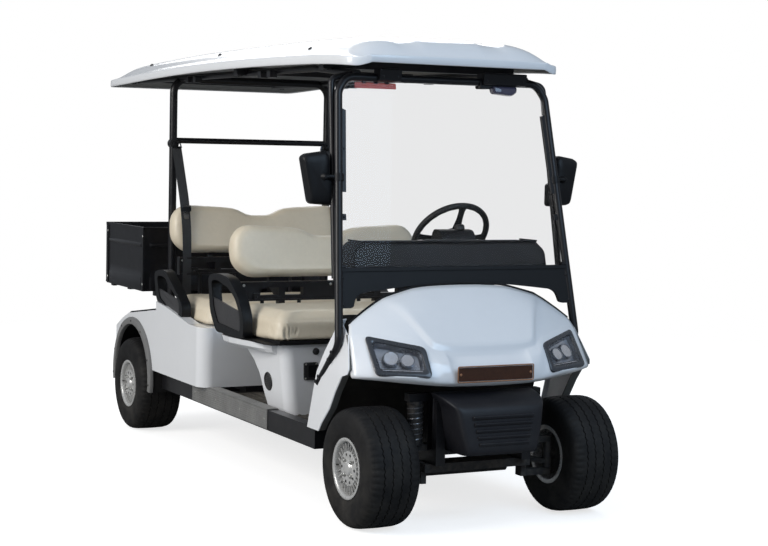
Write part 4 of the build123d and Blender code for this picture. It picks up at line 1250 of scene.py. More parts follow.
# ---- canopy ----------------------------------------------------------------------------
# Stations along the roof: y, lower edge of the lip, half width
ROOF_STATIONS = ((-1229, 1750, 452), (-1215, 1734, 470), (-1160, 1738, 476), (-1050, 1744, 480), (-900, 1749, 483),
                 (-600, 1754, 490), (-131, 1756, 500), (300, 1752, 508), (643, 1745, 514), (1000, 1732, 519),
                 (1300, 1720, 520), (1500, 1713, 520), (1590, 1710, 517), (1610, 1711, 506))
ROOF_CROWN = ((-1230, 1860), (-1050, 1867), (-400, 1869), (600, 1861), (1397, 1833), (1612, 1806))
ROOF_ENDS = (-1230, 1612)
LIP_HEIGHT = 33
# How far in from the roof's edge, and the share of the crown's height reached there
EDGE_RISE = ((0, 0.0), (5, 0.07), (22, 0.12), (34, 0.2), (60, 0.45), (95, 0.74), (150, 0.92), (240, 0.985), (330, 1.0))
# Two shallow channels along the roof: inner and outer edge, ends, depth
CHANNEL_X = (138, 250)
CHANNEL_Y = (-1195, 1520)
CHANNEL_DEPTH = 9
RAIL_X = 418


def between(table, value):
    """A straight-line reading from a table of (at, amount) pairs."""
    if value <= table[0][0]:
        return table[0][1]
    for (a, low), (b, high) in zip(table, table[1:]):
        if value <= b:
            return low + (high - low) * (value - a) / (b - a)
    return table[-1][1]


def roof_half_width(y):
    """The roof's half width at a place along it, drawn in at its four corners."""
    width = between([(s[0], s[2]) for s in ROOF_STATIONS], y)
    front_corner = max(0.0, 1 - (y - ROOF_ENDS[0]) / 75)
    rear_corner = max(0.0, 1 - (ROOF_ENDS[1] - y) / 60)
    return width - 62 * front_corner ** 2.6 - 48 * rear_corner ** 2.6


def roof_lip_z(y):
    """Height of the lower edge of the roof's lip."""
    return between([(s[0], s[1]) for s in ROOF_STATIONS], y)


def roof_top_z(x, y, half):
    """Height of the roof's upper skin, drawn down to the lip round its edge and into two channels along it."""
    low = roof_lip_z(y) + LIP_HEIGHT
    crown = between(ROOF_CROWN, y)
    share = between(EDGE_RISE, half - abs(x)) * between(EDGE_RISE, min(y - ROOF_ENDS[0], (ROOF_ENDS[1] - y) * 1.25))
    height = low + (crown - low) * share
    inner, outer = CHANNEL_X
    across = min(1.0, max(0.0, (abs(x) - inner) / 14)) * min(1.0, max(0.0, (outer - abs(x)) / 14))
    along = min(1.0, max(0.0, (y - CHANNEL_Y[0]) / 60)) * min(1.0, max(0.0, (CHANNEL_Y[1] - y) / 120))
    return height - CHANNEL_DEPTH * across * along


def roof_shape():
    """Roof moulding: upper skin, rolled lip and a grey underside, in one closed form."""
    half_fractions = [0, 0.12, 0.24, 0.275, 0.305, 0.4, 0.475, 0.505, 0.56, 0.66, 0.76, 0.83, 0.88, 0.92, 0.95, 0.975,
                      0.99, 1.0]
    fractions = [-f for f in reversed(half_fractions[1:])] + half_fractions
    ys = [-1230, -1225, -1212, -1198, -1180, -1158, -1130, -1100, -1050, -990, -900, -700, -450, -131, 200, 500, 800,
          1050, 1250, 1400, 1480, 1530, 1560, 1582, 1598, 1607, 1612]
    top_rows = []
    for y in ys:
        half = roof_half_width(y)
        top_rows.append([Vector((f * half, y, roof_top_z(f * half, y, half))) for f in fractions])
    shape = skin(top_rows)
    wide = len(fractions)
    rim = [top_rows[0][c] for c in range(wide)]
    rim += [row[-1] for row in top_rows[1:]]
    rim += [top_rows[-1][c] for c in range(wide - 2, -1, -1)]
    rim += [row[0] for row in reversed(top_rows[1:-1])]
    middle_y = 190
    loops = [rim]
    for inward, rise in ((0, 8), (1.5, 1.5), (6, 0), (12, 3), (14, 20)):
        loop = []
        for p in rim:
            low = roof_lip_z(p.y)
            out = Vector((p.x, p.y, 0))
            half = roof_half_width(p.y)
            normal = Vector((p.x / half if abs(p.x) > half - 2 else 0, 0, 0))
            if p.y < ROOF_ENDS[0] + 3:
                normal.y = -1
            if p.y > ROOF_ENDS[1] - 3:
                normal.y = 1
            normal.normalize()
            loop.append(out - normal * inward + Vector((0, 0, low + rise)))
        loops.append(loop)
    shape.merge(skin(loops[:5], loop_columns=True))
    shape.merge(skin(loops[4:], loop_columns=True), 1)
    inner = loops[-1]
    under = []
    for share, rise in ((0.93, 22), (0.8, 44), (0.55, 62), (0.25, 70)):
        lengthways = share + (1 - share) * 0.35
        under.append([Vector((p.x * share, middle_y + (p.y - middle_y) * lengthways, p.z + rise)) for p in inner])
    return shape.merge(skin([inner] + under, loop_columns=True), 1).fan(under[-1], 1)


def roof_bolts():
    """Six bolt heads through the roof's upper skin."""
    shape = Shape()
    for y in (1164, 237, -752):
        half = roof_half_width(y)
        for x in (430, -430):
            shape.merge(bolt((x, y, roof_top_z(x, y, half) - 1), (math.copysign(0.5, x), 0, 0.85), 8, 6))
    return shape


def canopy_fittings():
    """Brackets with their bolts and small blocks under the roof's rails, and a collar on each rear post."""
    shape = Shape()
    for y in (-880, 20, 1470):
        for side in (1, -1):
            x = side * RAIL_X
            shape.merge(slab((x - 21, x + 21), (y - 26, y + 26), (1733, 1738)))
            for dy in (-16, 16):
                shape.merge(bolt((x, y + dy, 1733), (0, 0, -1), 6, 5))
    for y in (560, 660, -330, -230):
        for span in ((-425, -391), (391, 425)):
            shape.merge(slab(span, (y, y + 34), (1716, 1744)))
    for side in (1, -1):
        shape.merge(tube([(side * 415, 862, 1425), (side * 415, 880, 1425), (side * 415, 898, 1425)], 24, sides=16))
    return shape


class GOLFCART_OT_canopy(bpy.types.Operator):
    """Builds the roof moulding, its bolts and the brackets on the canopy frame"""

    bl_idname = "golfcart.canopy"
    bl_label = "Canopy"

    def execute(self, context):
        piece("roof_moulding", roof_shape(), ["white_panel", "roof_under"], replaces="roof",
              subdivide=1)
        piece("roof_bolts", roof_bolts(), "black_bolt", sharp=40)
        piece("canopy_fittings", canopy_fittings(), ["black_steel", "zinc_bolt"], bevel=2)
        return {"FINISHED"}


# ---- mirrors ---------------------------------------------------------------------------
def mirror_shape():
    """Left door mirror: a dished dark shell, its glass on the rear face, and a jointed arm to the post."""
    outline = rounded([(624, 1386), (607, 1398), (527, 1410), (512, 1390), (508, 1302), (480, 1290), (480, 1200),
                       (590, 1207)], [12, 16, 14, 14, 10, 10, 14, 16], 5)
    middle_x, middle_z = 566, 1304
    rings = []
    for y, share in ((-1143, 0.2), (-1142, 0.62), (-1138, 0.86), (-1130, 0.96), (-1116, 1.0), (-1096, 1.0),
                     (-1092, 0.985), (-1092, 0.93), (-1097, 0.92)):
        rings.append([(middle_x + (x - middle_x) * share, y + (x - middle_x) * 0.08, middle_z + (z - middle_z) * share)
                      for x, z in outline])
    shell = skin(rings, loop_columns=True).cap(rings[0]).cap(rings[-1], 1, flip=True)
    joint = lathe([(0, 20), (5, 20), (9, 15), (20, 12), (26, 6)], 24)
    shell.merge(joint.turned(pointing((540, -1139, 1312), FORWARD)))
    post = Vector((screen_x(1310), screen_y(1310), 1310))
    arm = [post, post + Vector((14, 2, 2)), (520, -1158, 1314), (540, -1160, 1312), (541, -1146, 1312)]
    shell.merge(tube(arm, 7.5, bend=10, sides=12))
    collar = lathe([(-14, 18.5), (-14, 20), (14, 20), (14, 18.5)], 24, closed=True)
    return shell.merge(collar.turned(pointing(post, (-SCREEN_TAPER, SCREEN_LEAN, 1))))


class GOLFCART_OT_mirrors(bpy.types.Operator):
    """Builds the two mirrors"""

    bl_idname = "golfcart.mirrors"
    bl_label = "Mirrors"

    def execute(self, context):
        piece("door_mirrors", mirror_shape().both(), ["dark_plastic", "mirror_face"],
              replaces="mirrors", sharp=40)
        return {"FINISHED"}


# ---- seats -----------------------------------------------------------------------------
SEAT_PITCH = 780
BACKREST_RISE = 58
CUSHION_Y = (-610, -90)
CUSHION_Z = ((600, 731), (600, 706))
# How far the cushion's front edge is propped up on its board
CUSHION_TILT = (17, 3)
CUSHION_SEAM = 28
CUSHION_HALF = 497
BACK_HALF = 463
BACK_LEAN = math.radians(-10)
BACK_AT = (3, 948)
CLOTH_FRAMES = 20
# A pad may stand this far outside its CAD box, in millimetres
PAD_SLACK = 5


def cushion_z(row, y, share):
    """Height in a cushion at a share of its thickness, with the front edge propped up."""
    low, high = CUSHION_Z[row]
    front = (CUSHION_Y[1] + row * SEAT_PITCH - y) / (CUSHION_Y[1] - CUSHION_Y[0])
    tilt = CUSHION_TILT[row] * front
    return low + tilt + (high - low - 9 - tilt * 0.75) * share


def cushion_cage(row):
    """A flat-bottomed pad whose section narrows to the edge, with rounded plan corners, a little under full size."""
    y0, y1 = (y + row * SEAT_PITCH for y in CUSHION_Y)
    rings = []
    for share, inset in ((0, 14), (0.05, 6), (0.3, 4), (0.58, 4), (0.77, 9), (0.89, 20), (0.96, 36), (1.0, 62)):
        half = CUSHION_HALF - inset
        outline = rounded(rect((-half, half), (y0 + inset, y1 - inset)), max(20, 62 - inset * 0.4), 6)
        rings.append([(x, y, cushion_z(row, y, share)) for x, y in outline])
    return skin(rings, loop_columns=True).cap(rings[0], flip=True).cap(rings[-1])


def back_outline(inset):
    """A backrest's outline from the front, lower in the middle of its top edge."""
    half = BACK_HALF - inset
    low, high = -122 + inset, 122 - inset
    dip = 41
    outline = [(0, low), (half - 68, low), (half, low + 62), (half - 2, high - 56), (half - 52, high - 3), (215, high),
               (125, high - 8), (62, high - dip)]
    left = [(-x, z) for x, z in reversed(outline[1:])]
    radii = [0, 60, 60, 48, 44, 70, 55, 46]
    return rounded(outline + left, radii + list(reversed(radii[1:])), 5)


def back_cage(row):
    """A backrest's rounded block and the matrix that leans it into its place."""
    rings = []
    for y, inset in ((-46, 42), (-50, 30), (-48, 16), (-38, 6), (-20, 1), (0, 0), (20, 1), (38, 7), (48, 16), (50, 30)):
        rings.append([(x, y, z) for x, z in back_outline(inset)])
    shape = skin(rings, loop_columns=True).cap(rings[0]).cap(rings[-1], flip=True)
    at = (0, BACK_AT[0] + row * SEAT_PITCH, BACK_AT[1] + row * BACKREST_RISE)
    place = Matrix.Translation(at) @ Matrix.Rotation(BACK_LEAN, 4, "X")
    return shape.turned(place), place


def swell(obj, voxel, pressure, cap, pinned):
    """Inflates a pad with a short cloth run, held where pinned says, and caps how far a point may move."""
    context = bpy.context
    remesh = obj.modifiers.new("Remesh", "REMESH")
    remesh.mode = "VOXEL"
    remesh.voxel_size = voxel * MM
    apply_modifiers(obj)
    start = [v.co.copy() for v in obj.data.vertices]
    held = obj.vertex_groups.new(name="held")
    for v in obj.data.vertices:
        amount = pinned(v.co / MM)
        if amount > 0:
            held.add([v.index], amount, "REPLACE")
    cloth = obj.modifiers.new("Cloth", "CLOTH")
    settings = cloth.settings
    settings.quality = 4
    settings.mass = 0.25
    settings.tension_stiffness = 30
    settings.compression_stiffness = 18
    settings.bending_stiffness = 1.2
    settings.use_pressure = True
    settings.uniform_pressure_force = pressure
    settings.effector_weights.gravity = 0
    settings.vertex_group_mass = "held"
    cloth.point_cache.frame_start = 1
    cloth.point_cache.frame_end = CLOTH_FRAMES
    for step in range(1, CLOTH_FRAMES + 1):
        context.scene.frame_set(step)
    apply_modifiers(obj)
    context.scene.frame_set(1)
    for v, before in zip(obj.data.vertices, start):
        moved = v.co - before
        if moved.length > cap * MM:
            v.co = before + moved.normalized() * cap * MM
    for group in list(obj.vertex_groups):
        obj.vertex_groups.remove(group)


def apply_modifiers(obj):
    """Replaces the mesh by its own evaluated form and drops its modifiers."""
    graph = bpy.context.evaluated_depsgraph_get()
    made = bpy.data.meshes.new_from_object(obj.evaluated_get(graph))
    old = obj.data
    obj.modifiers.clear()
    obj.data = made
    bpy.data.meshes.remove(old)


def relax(obj, passes):
    """Evens out a mesh by moving each point towards the middle of its neighbours."""
    work = bmesh.new()
    work.from_mesh(obj.data)
    for _ in range(passes):
        bmesh.ops.smooth_vert(work, verts=work.verts, factor=0.5, use_axis_x=True, use_axis_y=True, use_axis_z=True)
    work.to_mesh(obj.data)
    work.free()


def press_seam(obj, seam, width, depth):
    """Presses a sewn line into a pad; seam gives the distance of a point, in mm, from the line."""
    normals = [v.normal.copy() for v in obj.data.vertices]
    for v, normal in zip(obj.data.vertices, normals):
        away = seam(v.co / MM)
        if away < width:
            v.co -= normal * depth * MM * (0.5 + 0.5 * math.cos(math.pi * away / width))


def wrinkles(obj, spots):
    """Small pulls in the cover, given as (centre, reach, direction across the pulls, spacing, height)."""
    normals = [v.normal.copy() for v in obj.data.vertices]
    for v, normal in zip(obj.data.vertices, normals):
        at = v.co / MM
        for centre, reach, across, spacing, height in spots:
            away = (at - Vector(centre)).length
            if away < reach:
                fade = (1 - (away / reach) ** 2) ** 2
                phase = (at - Vector(centre)).dot(Vector(across).normalized()) / spacing
                wander = noise.noise(at * 0.02) * 1.4
                v.co += normal * MM * height * fade * math.sin(2 * math.pi * (phase + wander))


def fit_in_box(obj, node):
    """Keeps a pad inside its CAD box plus a small slack by moving anything beyond it back in."""
    low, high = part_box(node)
    for v in obj.data.vertices:
        for axis in range(3):
            v.co[axis] = min(max(v.co[axis], low[axis] - PAD_SLACK * MM), high[axis] + PAD_SLACK * MM)


class GOLFCART_OT_seats(bpy.types.Operator):
    """Builds the two seat cushions and two backrests as stuffed vinyl pads"""

    bl_idname = "golfcart.seats"
    bl_label = "Seats"

    def execute(self, context):
        for row, place in enumerate(("front", "rear")):
            y0 = CUSHION_Y[0] + row * SEAT_PITCH
            base_z = cushion_z(row, y0, 0.0)
            cushion = mesh_object(f"{place}_cushion_pad", cushion_cage(row), ["cream_vinyl"], 0)
            swell(cushion, 12, 4.5, 12, lambda p: 1.0 if p.z < cushion_z(row, p.y, 0.0) + 10 else 0.0)
            self.smooth_pad(cushion)
            press_seam(cushion, lambda p: self.off_crown_seam(row, p), 7, 1.6)
            wrinkles(cushion, [
                ((-430, y0 + 8, base_z + 30), 66, (1, 0, 0.25), 17, 3.2),
                ((430, y0 + 8, base_z + 30), 58, (1, 0, -0.2), 24, 2.0),
                ((-330, y0 + 4, base_z + 22), 40, (1, 0, 0.1), 18, 1.2),
                ((-482, y0 + 90, base_z + 26), 70, (0, 1, 0.15), 18, 2.2),
                ((300, y0 + 4, base_z + 20), 44, (1, 0, -0.1), 19, 1.1),
            ])
            self.settle_pad(cushion, f"{place}_seat_cushion", 0.75)
            cage, matrix = back_cage(row)
            back = mesh_object(f"{place}_backrest_pad", cage, ["cream_vinyl"], 0)
            swell(back, 10, 4.0, 9, lambda p: 0.0)
            self.smooth_pad(back)
            inverse = matrix.inverted()
            press_seam(back, lambda p: abs((inverse @ p).y - 24), 6, 1.8)
            wrinkles(back, [
                (matrix @ Vector((-400, -30, 70)), 50, (1, 0, -0.6), 20, 0.9),
                (matrix @ Vector((60, -40, 62)), 55, (1, 0, 0.3), 22, 0.8),
                (matrix @ Vector((-60, -40, 62)), 55, (1, 0, -0.3), 22, 0.8),
                (matrix @ Vector((400, -30, 70)), 50, (1, 0, 0.6), 20, 0.9),
            ])
            self.settle_pad(back, f"{place}_backrest", 0.8)
        return {"FINISHED"}

    def off_crown_seam(self, row, point):
        """Distance from the sewn line a little under the edge of a cushion's top."""
        line = cushion_z(row, point.y, 1.0) - CUSHION_SEAM - 2.5 * math.sin(point.x * 0.006)
        return abs(point.z - line) if point.z < line + 14 else 99

    def smooth_pad(self, obj):
        """Evens a swollen pad out and refines it."""
        relax(obj, 2)
        subdivided(obj, 1)
        apply_modifiers(obj)

    def settle_pad(self, obj, node, fill):
        """Trims a pad to its box and lets it stand in for its CAD node."""
        fit_in_box(obj, node)
        obj.data.shade_smooth()
        settle(obj, "cart", node)


# ---- seat frames, hip loops and belts ----------------------------------------------------
# The restraints' outer outlines as (y, z), front and rear
LOOP_OUTER = (
    ((-385, 604), (-378, 700), (-318, 782), (-210, 852), (-108, 862), (-14, 856), (34, 838), (6, 690), (-66, 604)),
    ((362, 606), (360, 682), (487, 762), (600, 826), (680, 822), (752, 806), (716, 676), (590, 612)),
)
LOOP_BAND = 42
LOOP_X = (505, 551)
LOOP_PANEL_X = (537, 545)
BEAM_Y = -78
BELT_WIDTH_X = (380, 381, 403, 425, 426, 403)


def hip_shape():
    """Moulded loop at each seat end: a deep flat band with rounded edges and a grey panel across its foot."""
    shape = Shape()
    for outline in LOOP_OUTER:
        outer = rounded(outline, 34, 5)
        middle = (sum(y for y, _ in outer) / len(outer), sum(z for _, z in outer) / len(outer))
        inner = []
        for y, z in outer:
            dy, dz = y - middle[0], z - middle[1]
            reach = math.hypot(dy, dz)
            keep = max(0.25, (reach - LOOP_BAND) / reach)
            inner.append((middle[0] + dy * keep, middle[1] + dz * keep))
        near, far = LOOP_X
        rows = [[(x, y, z) for y, z in loop] for loop, x in ((outer, near), (outer, far), (inner, far), (inner, near))]
        shape.merge(skin(rows, loop_rows=True, loop_columns=True))
        low = min(z for _, z in inner)
        top = max(z for _, z in inner)
        panel = [(y, min(z, low + (top - low) * 0.52 + (y - middle[0]) * 0.12)) for y, z in inner]
        shape.merge(prism(panel, "x", *LOOP_PANEL_X), 1)
    return shape


def seat_frame_extras():
    """Bolts, tabs and brackets on the slotted beams, and the belt retractor boxes behind the rear cushion."""
    shape = Shape()
    for row in (0, 1):
        y = BEAM_Y + row * SEAT_PITCH
        rise = row * BACKREST_RISE
        for x in (-424, 0, 424):
            shape.merge(bolt((x, y, 805 + rise), FORWARD, 5, 3.5), 1)
        for x in (-365, 365):
            shape.merge(slab((x - 16, x + 16), (y - 9, y), (738 + rise, 770 + rise)))
            shape.merge(bolt((x, y - 9, 754 + rise), FORWARD, 5, 3.5))
        for low in (812, 735):
            shape.merge(slab((-440, 440), (y - 5, y), (low + rise, low + 8 + rise)))
        for x in (-330, -150, 150, 330):
            shape.merge(tube([(x, y + 6, 600), (x, y + 6, 640), (x, y + 14, 733 + rise)], 9, sides=12))
    retractor = prism(rounded(rect((706, 748), (600, 668)), 8), "x", 372, 432)
    retractor.merge(prism(rounded(rect((698, 708), (640, 690)), 3), "x", 376, 430))
    return shape.merge(retractor.both(), 2)


def belt_shape():
    """Webbing from the hoop's upper guide, over the rear backrest, to the retractor, 46 mm wide."""
    run = ((872, 1412), (858, 1400), (743, 1150), (706, 1020), (697, 905), (697, 760), (700, 690))
    path = rounded_path([(0, y, z) for y, z in run], 60, 5)
    rows = []
    for i, p in enumerate(path):
        along = path[min(i + 1, len(path) - 1)] - path[max(i - 1, 0)]
        out = Vector((0, -along.z, along.y)).normalized()
        share = i / (len(path) - 1)
        twist = 3.0 * math.sin(share * math.pi * 2)
        at = [Vector((x, p.y, p.z)) for x in BELT_WIDTH_X]
        rows.append([at[0] - out * twist, at[1] + out * 2 - out * twist, at[2] + out * 2.6,
                     at[3] + out * 2 + out * twist, at[4] + out * twist, at[5] - out * 0.2])
    return skin(rows, loop_columns=True).cap(rows[0]).cap(rows[-1], flip=True)


def belt_metal():
    """Upper guide ring, tongue and its plastic grip on each shoulder belt."""
    ring = [(396, 868, 1404), (450, 868, 1404), (444, 872, 1428), (402, 872, 1428), (396, 868, 1404)]
    shape = tube(rounded_path(ring, 8, 4), 3.5, sides=10)
    shape.merge(lathe([(0, 15), (6, 15), (12, 12), (14, 4)], 24).turned(pointing((430, 862, 1420), FORWARD)), 1)
    shape.merge(prism(rounded(rect((398, 448), (1098, 1122)), 6), "y", 716, 724), 1)
    tongue = prism(rounded([(410, 1062), (436, 1062), (440, 1100), (406, 1100)], 6), "y", 712, 715)
    shape.merge(tongue.moved(y=2))
    handle = [(404, 718, 1116), (404, 708, 1124), (423, 706, 1128), (442, 708, 1124), (442, 718, 1116)]
    return shape.merge(tube(handle, 3, sides=8)).moved(x=-20)


class GOLFCART_OT_seat_metalwork(bpy.types.Operator):
    """Builds the hip loops, the beam fittings and the shoulder belts"""

    bl_idname = "golfcart.seat_metalwork"
    bl_label = "Seat metalwork and belts"

    def execute(self, context):
        piece("hip_loops", hip_shape().both(), ["dark_plastic", "infill_plastic"],
              replaces="hip_restraints", bevel=6, rings=3)
        piece("seat_beam_fittings", seat_frame_extras(), ["black_steel", "zinc_bolt", "dark_plastic"], bevel=1.5)
        piece("shoulder_belts", belt_shape().both(), "belt_webbing", replaces="seat_belts",
              sharp=60)
        piece("belt_hardware", belt_metal().both(), ["lamp_chrome", "dark_plastic"], bevel=1)
        return {"FINISHED"}


# ---- seat base, rear body and sills ------------------------------------------------------
ARCH_CENTRE = (1015, 274)
ARCH_ENDS = (math.radians(-11), math.radians(191))
ARCH_STEPS = 44
# Sections of the flare and of its liner: distance out, radius
FLARE = ((556, 286), (566, 287), (573, 284), (576, 276), (577, 262), (575, 253), (568, 250), (556, 251))
LINER = ((566, 256), (548, 280), (372, 282), (372, 278), (548, 276), (562, 252))
VENT_RADIUS = 33
# The front seat base's side leans out with height: distance out at the floor, and gained for each millimetre up
BASE_FLOOR_Z = 300
BASE_SIDE = (430, 28 / 298)
VENT_AT = (-412, 424)


def base_side_x(z):
    """How far out the seat base's leaning side is at a height."""
    return BASE_SIDE[0] + BASE_SIDE[1] * (z - BASE_FLOOR_Z)


def vent_shape():
    """Round louvred vent, drawn facing +X at the origin."""
    shape = lathe([(-3, 40), (3, 40), (5.5, 37), (4, 34), (1, 33), (0.5, 1)], 36)
    for i in range(7):
        z = -24 + i * 8
        half = math.sqrt(VENT_RADIUS ** 2 - z ** 2) - 2
        shape.merge(prism(rect((-half, half), (z - 2.2, z + 0.6)), "x", 0, 3.5))
    return shape


def base_details():
    """Board under the front cushion, the battery vents, key switch, latch recess and their screws."""
    board = [(-500, -598), (500, -598), (528, -560), (530, -430), (546, -300), (550, -150), (524, -74), (-524, -74),
             (-550, -150), (-546, -300), (-530, -430), (-528, -560)]
    board = rounded([(x * 0.995, y) for x, y in board], 18)
    prop = [(-604, 598.5), (-604, 616), (-100, 602), (-100, 598.5)]
    shape = prism(board, "z", 598.5, 604).merge(prism(prop, "x", -478, 478))
    z = VENT_AT[1]
    place = Matrix.Translation((base_side_x(z), *VENT_AT)) @ Matrix.Rotation(math.atan(BASE_SIDE[1]), 4, "Y")
    shape.merge(vent_shape().turned(place).both(), 1)
    key = lathe([(0, 15), (4, 15), (6, 12), (6, 8), (10, 7), (11, 1)], 24)
    shape.merge(key.turned(pointing((-306, -592, 568), FORWARD)), 1)
    shape.merge(prism(rounded(rect((-362, -300), (449, 523)), 8), "y", -602, -590), 1)
    shape.merge(prism(rounded(rect((-344, -296), (462, 512)), 5), "y", -605, -600), 2)
    for x in (-354, -306):
        for z in (456, 516):
            shape.merge(bolt((x, -602, z), FORWARD, 3.5, 2.5), 3)
    return shape


def fender_top_strips():
    """Thin black strips on top of the rear fenders, under the cargo box."""
    top = [(700, 629), (1095, 578), (1180, 546)]
    outline = top + [(y, z + 5) for y, z in reversed(top)]
    return prism(outline, "x", 380, 548).both()


def arch_point(x, radius, angle):
    """A point round the rear wheel opening."""
    return x, ARCH_CENTRE[0] + radius * math.cos(angle), ARCH_CENTRE[1] + radius * math.sin(angle)


def arch_sweep(section):
    """A section of (distance out, radius) points swept round the rear wheel opening."""
    start, end = ARCH_ENDS
    angles = [start + (end - start) * i / ARCH_STEPS for i in range(ARCH_STEPS + 1)]
    rings = [[arch_point(x, radius, angle) for x, radius in section] for angle in angles]
    return skin(rings, loop_columns=True).cap(rings[0]).cap(rings[-1], flip=True)


def arch_shape():
    """Flat grey flare round the rear wheel opening, rolled at both edges, with a black liner behind it."""
    shape = arch_sweep(FLARE).merge(arch_sweep(LINER), 1)
    for angle in (-4, 22, 58, 90, 122, 158, 184):
        shape.merge(bolt(arch_point(576, 268, math.radians(angle)), LEFTWARD, 5, 3), 2)
    return shape


def step_shape():
    """Ribbed metal plate that wraps the sill's outer face and top."""
    shape = slab((520, 523), (-590, 285), (250, 331)).merge(slab((470, 523), (-590, 84), (330, 333)))
    for i in range(9):
        x = 474 + i * 5.6
        shape.merge(prism([(x - 1.6, 333), (x + 1.6, 333), (x + 0.8, 334.4), (x - 0.8, 334.4)], "y", -586, 80))
    for i in range(8):
        z = 258 + i * 9
        shape.merge(prism([(523, z - 2), (523, z + 2), (524.2, z + 1), (524.2, z - 1)], "y", -586, 281))
    for y in (-560, -290, -10, 250):
        shape.merge(bolt((523.2, y, 290), LEFTWARD, 4.5, 1.5), 1)
    return shape


def tail_lamp_shape():
    """Left tail lamp with a bowed face and two dark bars."""
    rows = []
    for y, inset in ((1291, 0), (1300, 0), (1304, 3), (1306, 9)):
        outline = rounded(rect((442 + inset, 528 - inset), (402 + inset, 478 - inset)), 12)
        rows.append([(x, y, z) for x, z in outline])
    shape = skin(rows, loop_columns=True).cap(rows[0]).cap(rows[-1])
    for z in (428, 452):
        shape.merge(slab((450, 520), (1304, 1307), (z - 1, z + 1)), 1)
    return shape


class GOLFCART_OT_rear_body(bpy.types.Operator):
    """Builds the seat base fittings, wheel arch flares, step plates and tail lamps"""

    bl_idname = "golfcart.rear_body"
    bl_label = "Rear body"

    def execute(self, context):
        for node in ("front_seat_base", "rear_body"):
            dress(node, "white_panel")
        piece("seat_base_fittings", base_details(), ["seal_rubber", "trim_plastic", "dark_plastic", "zinc_bolt"],
              bevel=1)
        # Black strips laid along the fender tops under the cargo box
        piece("fender_top_strips", fender_top_strips(), "seal_rubber", bevel=1.5)
        piece("wheel_arch_flares", arch_shape().both(), ["arch_plastic", "seal_rubber", "black_bolt"],
              replaces="arch_trims")
        piece("sill_step_plates", step_shape().both(), ["step_metal", "zinc_bolt"],
              replaces="step_plates", sharp=30)
        piece("tail_lamps", tail_lamp_shape().both(), ["tail_red", "trim_plastic"],
              replaces="tail_lights", bevel=1)
        return {"FINISHED"}


# ---- cargo box ---------------------------------------------------------------------------
CARGO_X = 508
CARGO_FRONT_Y = 1040
CARGO_Z = (685, 1005)
GATE_Y = (1622, 1636)
TRAY_END_Y = GATE_Y[0] - 5
# The line that the tailgate turns about: y, z
GATE_HINGE = (1627, 676)
# Swages across a cargo wall from its foot up: height and how far out the sheet stands there
SWAGES = ((9, 4.5), (64, 4.5), (73, 0.8), (100, 0.8), (106, 0), (219, 0), (223, 5), (230, 7), (237, 4.5), (241, 0))


def swaged_wall(width, height, thick, ends=26):
    """A sheet wall in its own plane (width along X, height along Z, outer face at -Y) with swages pressed across it."""
    shape = slab((0, width), (0, thick), (0, height))
    shape.merge(slab((0, width), (-3, thick + 3), (height - 14, height)))
    shape.merge(slab((0, width), (-3, 0), (0, 9)))
    rows = []
    for x, share in ((ends, 0), (ends + 9, 0.8), (ends + 14, 1), (width - ends - 14, 1), (width - ends - 9, 0.8),
                     (width - ends, 0)):
        rows.append([(x, 0.3 - out * share, z) for z, out in SWAGES])
    return shape.merge(skin(rows))


def about_z(x, y, z, degrees):
    """A matrix that turns about the Z axis and then moves to a place."""
    return Matrix.Translation((x, y, z)) @ Matrix.Rotation(math.radians(degrees), 4, "Z")


def cargo_shape():
    """Tray of the cargo box: ribbed floor, swaged side and front walls, corner posts, hinge plates and the pin."""
    foot, top = CARGO_Z
    shape = slab((-CARGO_X, CARGO_X), (CARGO_FRONT_Y, TRAY_END_Y), (foot, foot + 6))
    for i in range(9):
        x = -432 + i * 108
        rib = [(x - 14, foot + 6), (x + 14, foot + 6), (x + 9, foot + 10), (x - 9, foot + 10)]
        shape.merge(prism(rib, "y", CARGO_FRONT_Y + 16, GATE_Y[0] - 20))
    side = swaged_wall(TRAY_END_Y - CARGO_FRONT_Y, top - foot, 6)
    shape.merge(side.turned(about_z(CARGO_X - 4, CARGO_FRONT_Y, foot, 90)).both())
    front = swaged_wall(2 * CARGO_X - 16, top - foot, 6)
    shape.merge(front.moved(-CARGO_X + 8, CARGO_FRONT_Y + 4, foot))
    hinge_plate = rounded(rect((1588, 1634), (668, 690)), 6)
    for side_x in (-1, 1):
        post_x = side_x * (CARGO_X - 3)
        for y in (CARGO_FRONT_Y + 10, GATE_Y[0] - 14):
            shape.merge(slab((post_x - 4, post_x + 4), (y - 9, y + 9), CARGO_Z))
        shape.merge(prism(hinge_plate, "x", side_x * 470 - 8, side_x * 470 + 8))
        for z in (720, 960):
            for y in (GATE_Y[0] - 14, CARGO_FRONT_Y + 10):
                shape.merge(bolt((side_x * (CARGO_X + 0.5), y, z), (side_x, 0, 0), 6, 2.5), 1)
    pin = lathe([(-480, 0.5), (-480, 5), (480, 5), (480, 0.5)], 16)
    return shape.merge(pin.moved(0, *GATE_HINGE), 1)


def gate_shape():
    """Swaged tailgate with its hinge barrels and straps, and a latch at each end."""
    height = CARGO_Z[1] - CARGO_Z[0] - 4
    gate = swaged_wall(2 * CARGO_X, height, 8).turned(about_z(CARGO_X, GATE_Y[1] - 4, CARGO_Z[0] + 4, 180))
    barrel = lathe([(-30, 5.2), (-30, 9), (30, 9), (30, 5.2)], 24, closed=True)
    for x in (-425, 0, 425):
        gate.merge(barrel.moved(x, *GATE_HINGE))
        gate.merge(slab((x - 26, x + 26), (1629, 1635), (680, 720)))
        for dx in (-14, 14):
            gate.merge(bolt((x + dx, 1635, 706), BACKWARD, 4, 1), 1)
    for side in (1, -1):
        gate.merge(slab((side * 486 - 12, side * 486 + 12), (1621.5, 1626), (948, 978)), 1)
    return gate


